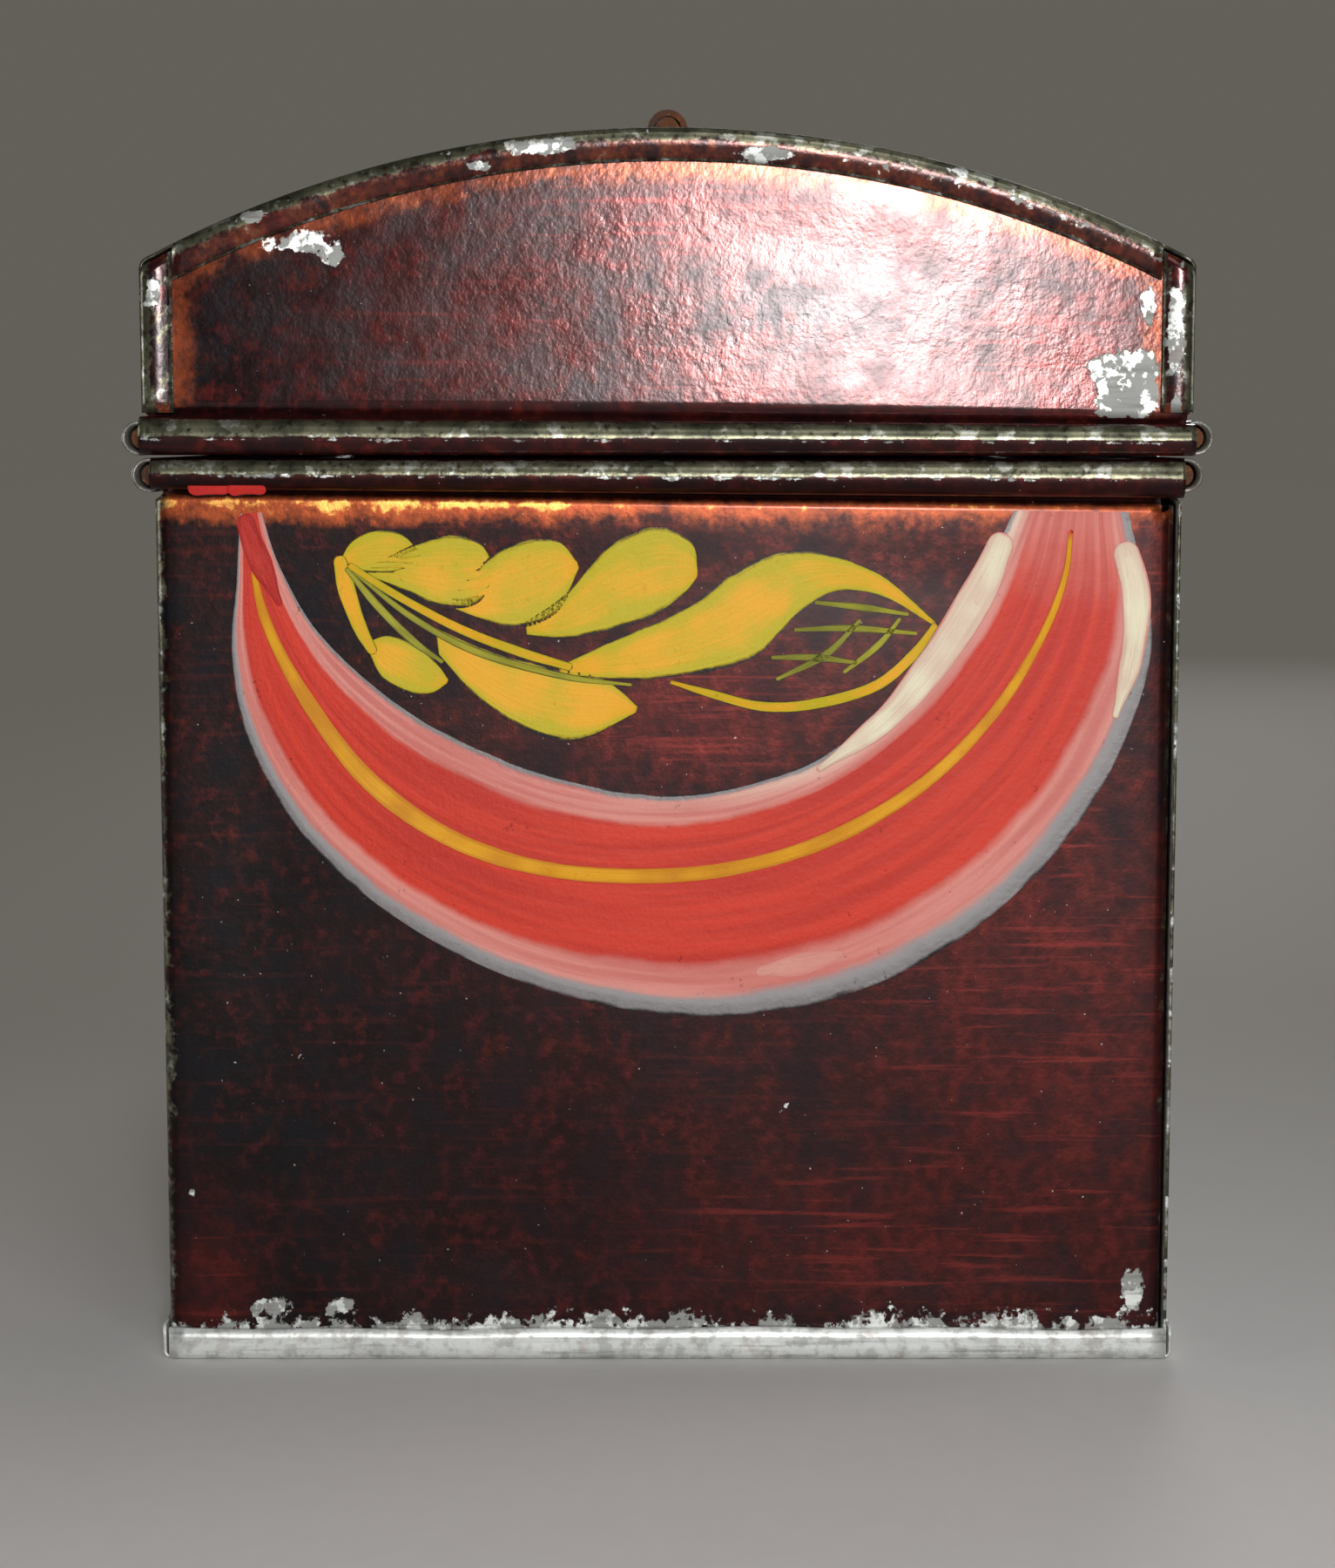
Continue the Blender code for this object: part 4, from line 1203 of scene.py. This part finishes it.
def smooth_line(points, count):
    """Evenly spaced places on a smooth curve through some points."""
    knots = [Vector(p) for p in points]
    knots = [2 * knots[0] - knots[1], *knots, 2 * knots[-1] - knots[-2]]
    dense = []
    for a, b, c, d in zip(knots, knots[1:], knots[2:], knots[3:]):
        for k in range(CURVE_STEPS):
            t = k / CURVE_STEPS
            bend = (2 * a - 5 * b + 4 * c - d) * t**2 + (3 * b - a - 3 * c + d) * t**3
            dense.append(0.5 * (2 * b + (c - a) * t + bend))
    dense.append(knots[-2])
    lengths = [0.0]
    for before, after in zip(dense, dense[1:]):
        lengths.append(lengths[-1] + (after - before).length)
    line = []
    at = 0
    for k in range(count):
        wanted = lengths[-1] * k / (count - 1)
        while at < len(lengths) - 2 and lengths[at + 1] < wanted:
            at += 1
        share = (wanted - lengths[at]) / max(1e-9, lengths[at + 1] - lengths[at])
        line.append(dense[at].lerp(dense[at + 1], min(1.0, share)))
    return line


def end_wall(side, phase):
    """Places on an end of the body, in mm across (as it is seen) and up, lifted off the varnish."""
    half = LAP_SIDE - CORNER_RADIUS

    def place(u, z, lift):
        reach = BODY_END - wall_sag(u * MM, z * MM, half, phase) + lift
        return Vector((side * reach, side * u * MM, z * MM))

    return place


right_end = end_wall(1, FRONT_PHASE + 1.0)
left_end = end_wall(-1, BACK_PHASE + 1.0)


def painted_skin(name, edges, across, along, lift, surface, material, body, shares=None):
    """A skin between two or more edge curves, with how far along and across stored as a UV map."""
    lines = [[Vector(p) for p in edge] if shares else smooth_line(edge, along) for edge in edges]
    shares = shares or [k / (along - 1) for k in range(along)]
    mesh = bpy.data.meshes.new(name)
    shape = bmesh.new()
    uv = shape.loops.layers.uv.new("stroke")
    rows = []
    for k in range(along):
        row = []
        for part, (first, second) in enumerate(zip(lines, lines[1:])):
            for m in range(across + (part == len(lines) - 2)):
                share = m / across
                flat = first[k].lerp(second[k], share)
                row.append((flat, (shares[k], (part + share) / (len(lines) - 1))))
        rows.append(row)
    corners = [[(shape.verts.new(surface(flat.x, flat.y, lift)), at) for flat, at in row] for row in rows]
    for here, there in zip(corners, corners[1:]):
        for a, b, c, d in zip(here, here[1:], there[1:], there):
            face = shape.faces.new([a[0], b[0], c[0], d[0]])
            for loop, (_, at) in zip(face.loops, (a, b, c, d)):
                loop[uv].uv = at
    bmesh.ops.recalc_face_normals(shape, faces=shape.faces)
    shape.faces.ensure_lookup_table()
    middle = shape.faces[len(shape.faces) // 2]
    outward = surface(0.0, 50.0, 1.0) - surface(0.0, 50.0, 0.0)
    if middle.normal.dot(outward) < 0:
        bmesh.ops.reverse_faces(shape, faces=shape.faces)
    shape.to_mesh(mesh)
    shape.free()
    mesh.shade_smooth()
    piece = bpy.data.objects.new(name, mesh)
    bpy.context.collection.objects.link(piece)
    mesh.materials.append(material)
    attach(piece, body)
    return piece


# %% [markdown]
# ## Colours of paint
# A colour of paint has a light and a dark tone, since the paint is thinner in places. Wear knocks small pits
# in it, and a dry brush leaves gaps between its hairs. Under it lies varnish, or another colour.

# %% Helper: colours of paint
PAINT_ROUGHNESS = 0.5
PAINT_COAT = 0.04


def stroke_place(tree):
    """How far along and how far across its stroke a point lies."""
    uv = put(tree, "UVMap", 0, uv_map="stroke")
    return put(tree, "SeparateXYZ", 0, {0: uv}), put(tree, "SeparateXYZ", 1, {0: uv})


def paint_over_japan(base, cover, colour, height):
    """Paint on varnish: the varnish shows wherever the cover is thin."""
    return {
        "Colour": blend(cover, base["Colour"], colour),
        "Roughness": mix_value(cover, base["Roughness"], PAINT_ROUGHNESS),
        "Metallic": mix_value(cover, base["Metallic"], 0.0),
        "Coat": mix_value(cover, base["Coat"], PAINT_COAT),
        "Height": base["Height"] + height,
    }


def paint_material(name, light, dark, wear, dry, under=None):
    """One colour of paint on the japan, or on another colour under it."""
    material, tree, shader = new_material(name, specular=0.3)
    base = japan_parts(tree, BODY_FINISH)
    along, across = stroke_place(tree)
    inputs = {"Place": object_place(tree), "Along": along, "Across": across}
    inputs.update({"Light": light, "Dark": dark, "Wear": wear, "Dry": dry})
    stroke = use_group(tree, STROKE, inputs)
    parts = paint_over_japan(base, stroke["Cover"], stroke["Colour"], stroke["Height"] * 2.0)
    if under:
        parts["Colour"] = blend(stroke["Cover"], under, stroke["Colour"])
        parts.update({"Roughness": PAINT_ROUGHNESS, "Metallic": 0.0, "Coat": PAINT_COAT})
    fill_shader(tree, shader, parts)
    return material


# %% [markdown]
# ## The swag
# The main ornament is a hanging swag: a wide crescent in red, pink at both edges where the white underpaint
# shows through, with a yellow line run along its middle. Strokes that lie on the crescent fade to its red or
# pink at their edges, not to the varnish far below, or a dark line would show round them.

# %% Draw the swag and mix its colours
SWAG_OUTER = [
    (-49.4, 100.2), (-49.9, 92.0), (-50.6, 83.0), (-48.2, 72.5), (-41.5, 61.5), (-31.0, 52.5), (-18.0, 45.8),
    (-3.5, 42.0), (10.0, 41.6), (24.0, 45.0), (37.0, 52.6), (47.5, 63.5), (53.8, 75.5), (56.2, 87.0),
    (53.2, 100.4),
]
SWAG_INNER = [
    (-46.8, 100.4), (-44.8, 94.0), (-40.2, 86.2), (-33.0, 79.4), (-23.5, 73.6), (-12.5, 69.4), (-2.0, 67.6),
    (8.0, 68.4), (17.8, 72.0), (26.4, 78.6), (33.0, 86.8), (37.2, 94.6), (40.0, 100.6),
]
SWAG_MIDDLE = [
    (-48.2, 100.3), (-47.4, 92.0), (-44.6, 83.5), (-39.5, 74.8), (-32.0, 67.0), (-22.5, 61.4), (-11.5, 58.4),
    (0.5, 58.1), (12.5, 60.2), (24.0, 65.2), (34.0, 72.8), (41.0, 81.8), (45.2, 91.0), (46.8, 100.5),
]
YELLOW_LINE = [
    (-48.4, 97.2), (-46.6, 88.0), (-42.0, 78.8), (-35.0, 69.4), (-26.0, 62.8), (-16.0, 59.2), (-5.0, 58.0),
    (7.0, 58.8), (19.0, 62.4), (30.0, 69.0), (38.0, 77.2), (43.2, 85.6), (45.9, 92.6), (46.6, 98.4),
]


def swag_material():
    """Red in the middle of the crescent, pink near its edges and a grey rim, streaked along its length."""
    material, tree, shader = new_material("swag_red", specular=0.3)
    base = japan_parts(tree, BODY_FINISH)
    place = object_place(tree)
    along, across = stroke_place(tree)
    wobble = grain(place, 0.007, 4.0, shift=31.0)
    fine = grain(place, 0.0012, 5.0, shift=33.0)
    hairs = put(tree, "CombineXYZ", 0, {0: along * 3.0, 1: across * 12.0})
    bristle = put(tree, "TexNoise", 0, {"Vector": hairs, "Scale": 1.6, "Detail": 5.0, "Roughness": 0.5})
    shifted = across + (wobble - 0.5) * 0.05 + (bristle - 0.5) * 0.04
    inner = 1.0 - shifted
    from_edge = least(shifted, inner)
    red = blend(window(bristle, 0.32, 0.68), tone(190, 34, 10), tone(214, 50, 20))
    pink = blend(window(bristle, 0.36, 0.64), tone(204, 112, 102), tone(220, 142, 130))
    pale = window(along, 0.42, 0.78) * window(inner, 0.16, 0.04)
    pink = blend(pale, pink, tone(230, 196, 178))
    top = window(along + wobble * 0.06, 0.94, 1.03, 0.0, 0.7)
    colour = blend(most(window(from_edge, 0.205, 0.160), top), red, pink)
    grey = most(window(shifted, 0.095, 0.055), window(inner, 0.040, 0.020))
    colour = blend(grey, colour, tone(150, 146, 146))
    cover = window(from_edge, -0.002, 0.014) * window(from_edge, 0.02, 0.06, 0.62, 1.0)
    cover = cover * window(fine + wobble * 0.5, 1.02, 0.92, 0.4, 1.0)
    fill_shader(tree, shader, paint_over_japan(base, cover, colour, cover * bristle))
    return material


SWAG_RED = swag_material()
SWAG_BED = tone(200, 42, 15)
PINK_BED = tone(214, 132, 120)
YELLOW = paint_material("yellow_paint", tone(236, 168, 16), tone(208, 134, 4), 0.2, 0.1, SWAG_BED)
CREAM = paint_material("cream_paint", tone(240, 230, 200), tone(224, 194, 172), 0.3, 0.2, PINK_BED)
WORN_CREAM = paint_material("worn_cream", tone(226, 200, 178), tone(214, 150, 136), 1.0, 0.8, PINK_BED)
RED = paint_material("red_paint", tone(206, 52, 40), tone(170, 32, 28), 0.3, 0.3, SWAG_BED)
DAB_RED = paint_material("dab_red", tone(226, 40, 22), tone(190, 24, 16), 0.3, 0.0)
print("colours:", [m.name for m in (SWAG_RED, YELLOW, CREAM, WORN_CREAM, RED, DAB_RED)])

# %% [markdown]
# ## Strokes on the swag
# A line is one pull of the brush, blunt at both ends and wider where it was pressed. The table gives each
# stroke its points, its widths, its height above the varnish, its colour, and how finely it is cut up, with
# lengths in mm. Two dabs of red on the roll above were left by a careless hand.


# %% Helper: lines of paint
def brushed_line(name, points, widths, lift, surface, material, along, body):
    """A stroke along a line, with its width given at a few even stations."""
    dense = smooth_line(points, 4 * along)
    shares = [0.5 - 0.5 * cos(pi * k / (along - 1)) for k in range(along)]
    line = [dense[round(share * (4 * along - 1))] for share in shares]
    left, right = [], []
    for k, place in enumerate(line):
        ahead = line[min(k + 1, along - 1)] - line[max(k - 1, 0)]
        across = Vector((-ahead.y, ahead.x)).normalized()
        share = shares[k] * (len(widths) - 1)
        low = min(int(share), len(widths) - 2)
        width = widths[low] + (widths[low + 1] - widths[low]) * ease(share - low)
        from_end = min((place - line[0]).length, (place - line[-1]).length)
        blunt = min(1.0, from_end / (width / 2))
        width *= max(0.05, sqrt(1 - (1 - blunt) ** 2))
        left.append(tuple(place + across * width / 2))
        right.append(tuple(place - across * width / 2))
    return painted_skin(name, [left, right], 4, along, lift, surface, material, body, shares)


# %% Paint the swag
SWAG_STROKES = {
    "yellow_line": (
        YELLOW_LINE, [0.5, 1.4, 2.0, 2.4, 2.2, 1.9, 1.9, 1.8, 1.9, 1.7, 1.4, 1.0, 0.6], 0.11, YELLOW, 120,
    ),
    "cream_inside": (
        [(39.0, 98.0), (36.2, 91.4), (31.4, 83.6), (25.4, 76.4), (17.4, 70.4)],
        [3.0, 4.2, 3.9, 2.8, 0.8], 0.13, CREAM, 60,
    ),
    "cream_outside": (
        [(52.6, 97.0), (54.2, 91.0), (53.9, 84.0), (52.0, 76.5)], [3.0, 3.4, 2.6, 0.8], 0.13, CREAM, 60,
    ),
    "red_top": ([(-48.9, 100.2), (-47.4, 95.4), (-44.8, 89.6)], [2.2, 2.8, 0.8], 0.14, RED, 40),
    "worn_patch": ([(10.4, 46.6), (15.0, 47.4), (20.6, 48.8)], [1.2, 2.6, 1.2], 0.09, WORN_CREAM, 30),
}


def paint_swag(prefix, surface):
    """Lays the crescent and the strokes on it."""
    edges = [SWAG_OUTER, SWAG_MIDDLE, SWAG_INNER]
    painted_skin(prefix + "swag", edges, 10, 90, 0.05 * MM, surface, SWAG_RED, "box")
    for name, (points, widths, lift, material, along) in SWAG_STROKES.items():
        brushed_line(prefix + "swag_" + name, points, widths, lift * MM, surface, material, along, "box")


RIM_DABS = {
    "rim_red_dab_1": ([(-55.0, 103.1), (-52.4, 103.5), (-50.0, 103.2)], [2.0, 2.3, 1.9], 0.3),
    "rim_red_dab_2": ([(-50.4, 103.0), (-48.0, 103.2), (-46.0, 102.9)], [1.8, 1.6, 1.2], 0.4),
}


def rim_front(u, z, lift):
    """A place on the underside of the body's right roll."""
    return Vector((body_high.x - 1.0 * MM + lift, u * MM, z * MM))


paint_swag("right_", right_end)
for name, (points, widths, lift) in RIM_DABS.items():
    brushed_line(name, points, widths, lift * MM, rim_front, DAB_RED, 24, "box")
print("strokes on the right end:", 1 + len(SWAG_STROKES) + len(RIM_DABS))

# %% [markdown]
# ## The leaf
# Over the swag hangs a scalloped leaf in mustard yellow, greener where the paint is thin. Each lobe is one
# press of the brush.

# %% Paint the leaf
LEAF = paint_material("leaf_mustard", tone(242, 174, 28), tone(196, 178, 14), 0.2, 0.0)
LEAF_GREEN = paint_material("leaf_green", tone(180, 172, 50), tone(130, 130, 44), 0.3, 0.2)

LEAF_LOBES = {
    "leaf_lobe_1": [
        [(-38.0, 94.6), (-36.4, 97.2), (-33.4, 98.4), (-30.6, 97.8), (-28.8, 96.0)],
        [(-37.8, 94.2), (-35.6, 93.6), (-33.6, 93.4), (-31.0, 93.6), (-28.6, 95.2)],
    ],
    "leaf_lobe_2": [
        [(-33.6, 94.6), (-29.0, 96.8), (-25.0, 97.8), (-21.8, 97.0), (-20.2, 94.6)],
        [(-35.0, 93.2), (-31.0, 91.6), (-26.0, 89.4), (-21.8, 90.0), (-19.8, 94.0)],
    ],
    "leaf_lobe_3": [
        [(-25.0, 90.6), (-20.4, 95.4), (-16.4, 97.2), (-12.6, 97.2), (-10.4, 94.6)],
        [(-24.6, 89.2), (-21.0, 87.8), (-17.0, 87.0), (-12.6, 89.0), (-10.2, 94.0)],
    ],
    "leaf_lobe_4": [
        [(-16.6, 87.6), (-12.0, 90.8), (-7.0, 96.4), (-1.6, 98.8), (2.8, 97.0), (3.5, 93.6)],
        [(-16.4, 86.2), (-12.0, 85.8), (-7.0, 86.6), (-1.4, 88.4), (2.0, 91.0), (3.5, 93.0)],
    ],
    "leaf_sweep": [
        [(-12.7, 82.6), (-6.0, 85.8), (2.0, 89.4), (8.5, 94.0), (13.5, 95.9), (19.0, 95.5), (25.0, 93.0),
         (31.2, 87.6)],
        [(-12.7, 81.6), (-4.0, 81.0), (4.0, 81.8), (10.5, 83.8), (15.0, 88.4), (19.5, 91.2), (25.0, 90.6),
         (31.0, 87.2)],
    ],
    "leaf_lower_lobe": [
        [(-27.0, 87.2), (-20.5, 84.4), (-13.0, 82.4), (-7.0, 81.0), (-3.4, 77.8)],
        [(-26.6, 84.0), (-22.0, 78.8), (-16.0, 75.0), (-10.0, 74.0), (-3.6, 77.2)],
    ],
    "leaf_small_lobe": [
        [(-35.0, 85.4), (-32.4, 86.2), (-29.4, 85.2), (-26.8, 83.0), (-25.4, 81.0)],
        [(-34.8, 84.6), (-33.2, 81.2), (-30.0, 79.4), (-27.4, 79.4), (-25.6, 80.6)],
    ],
}
HAIRLINE = [0.5, 0.9, 0.5]
LEAF_LINES = {
    "stem": ([(-38.0, 95.4), (-37.0, 91.0), (-35.6, 87.0), (-34.0, 84.0)], [1.6, 2.2, 1.8, 1.2], 0.12, LEAF),
    "rib_upper": (
        [(-37.0, 94.4), (-31.0, 90.6), (-24.0, 86.9), (-17.0, 84.2), (-11.0, 82.4)],
        [0.8, 1.0, 1.1, 1.2, 1.0], 0.14, LEAF,
    ),
    "rib_lower": (
        [(-37.2, 94.0), (-33.4, 89.4), (-29.6, 85.6), (-26.0, 83.0)], [0.6, 1.0, 1.0, 0.5], 0.14, LEAF_GREEN,
    ),
    "rib_middle": (
        [(-36.4, 93.6), (-29.5, 88.2), (-22.0, 84.2), (-12.0, 81.4), (-4.0, 80.4)],
        [0.5, 0.8, 0.9, 0.8, 0.4], 0.13, LEAF_GREEN,
    ),
    "under_line": (
        [(0.2, 80.8), (5.0, 79.4), (11.0, 77.9), (17.0, 78.2), (24.0, 80.2), (28.4, 83.8), (31.2, 87.6)],
        [0.5, 1.0, 1.2, 1.3, 1.3, 1.3, 0.8], 0.13, LEAF,
    ),
    "lattice_1": ([(17.0, 90.0), (22.6, 89.4), (28.0, 88.6)], HAIRLINE, 0.12, LEAF_GREEN),
    "lattice_2": ([(14.6, 86.8), (21.0, 87.0), (29.0, 86.4)], HAIRLINE, 0.12, LEAF_GREEN),
    "lattice_3": ([(12.0, 83.6), (17.0, 83.6), (22.0, 83.0)], HAIRLINE, 0.12, LEAF_GREEN),
    "lattice_4": ([(27.0, 88.2), (24.6, 85.2), (20.4, 81.8)], HAIRLINE, 0.12, LEAF_GREEN),
    "lattice_5": ([(22.4, 88.0), (18.4, 84.0), (12.6, 81.0)], HAIRLINE, 0.12, LEAF_GREEN),
}


def paint_leaf(prefix, surface, body):
    """Lays the seven lobes of the leaf, then its stem, ribs and lattice."""
    for name, edges in LEAF_LOBES.items():
        painted_skin(prefix + name, edges, 8, 40, 0.10 * MM, surface, LEAF, body)
    for name, (points, widths, lift, material) in LEAF_LINES.items():
        brushed_line(prefix + "leaf_" + name, points, widths, lift * MM, surface, material, 40, body)


paint_leaf("right_", right_end, "box")
print("leaf strokes:", len(LEAF_LOBES) + len(LEAF_LINES))

# %% [markdown]
# ## The other sides
# The same ornament goes once on the other end and twice along the front, turned about so that the two
# leaves face the hasp. The back stays plain, as it stood against a wall. The dome gets a pair of leaves on
# each side of the handle.

# %% Paint the other sides
SWAG_FROM_MIDDLE = 58.5
FRONT_SIZE = 0.9
LEAF_FROM_MIDDLE = 70.0
LEAF_FROM_RIDGE = 27.0
DOME_LEAF_SIZE = 0.8
LEAF_HEIGHT = 86.0


def front_place(side):
    """Places on the left or right half of the front, for an ornament drawn for the end of the box."""

    def place(u, z, lift):
        x = side * (SWAG_FROM_MIDDLE - FRONT_SIZE * u) * MM
        return Vector((x, wall_sag(x, z * MM, ROLL_STOP, FRONT_PHASE) - lift - BODY_SIDE, z * MM))

    return place


def dome_place(side, row):
    """Places on a quarter of the dome, for a leaf drawn for the end of the box."""

    def place(u, v, lift):
        x = side * (LEAF_FROM_MIDDLE + u * DOME_LEAF_SIZE) * MM
        turn = row * (LEAF_FROM_RIDGE + (v - LEAF_HEIGHT) * DOME_LEAF_SIZE) * MM / DOME_RADIUS
        reach = DOME_RADIUS + lift - dome_sag(x, DOME_RADIUS * sin(turn))
        return Vector((x, reach * sin(turn), DOME_CENTRE + reach * cos(turn)))

    return place


paint_swag("left_", left_end)
paint_leaf("left_", left_end, "box")
for side, name in ((-1, "left_"), (1, "right_")):
    paint_swag("front_" + name, front_place(side))
    paint_leaf("front_" + name, front_place(side), "box")
for side, name in ((-1, "left_"), (1, "right_")):
    for row, depth in ((-1, "front_"), (1, "back_")):
        paint_leaf("dome_" + name + depth, dome_place(side, row), "lid")
strokes = [o for o in bpy.data.objects if "leaf" in o.name or "swag" in o.name]
print("strokes:", len(strokes))

# %% [markdown]
# ## Iron
# The wires, the hasp and the hinges are simple bent metal, so they keep the model's own shapes and take new
# finishes: brown rust on bare iron wire, and the dull rubbed finish on the plates.

# %% Finish the fittings
WIRES = [part + "_wire_" + side for part in ("body", "lid") for side in ("front", "back", "right", "left")]
FITTINGS = {
    RUSTY_WIRE: ["bail", "bail_ear_right", "bail_ear_left", "staple", "hasp_pin", *WIRES],
    RUBBED: ["hasp", "hasp_leaf", "hinge_strap_right", "hinge_strap_left", "staple_plate"],
}
for material, names in FITTINGS.items():
    for name in names:
        for slot in frame["nodes"][name].material_slots:
            slot.material = material
    print(material.name, "on", len(names), "nodes")
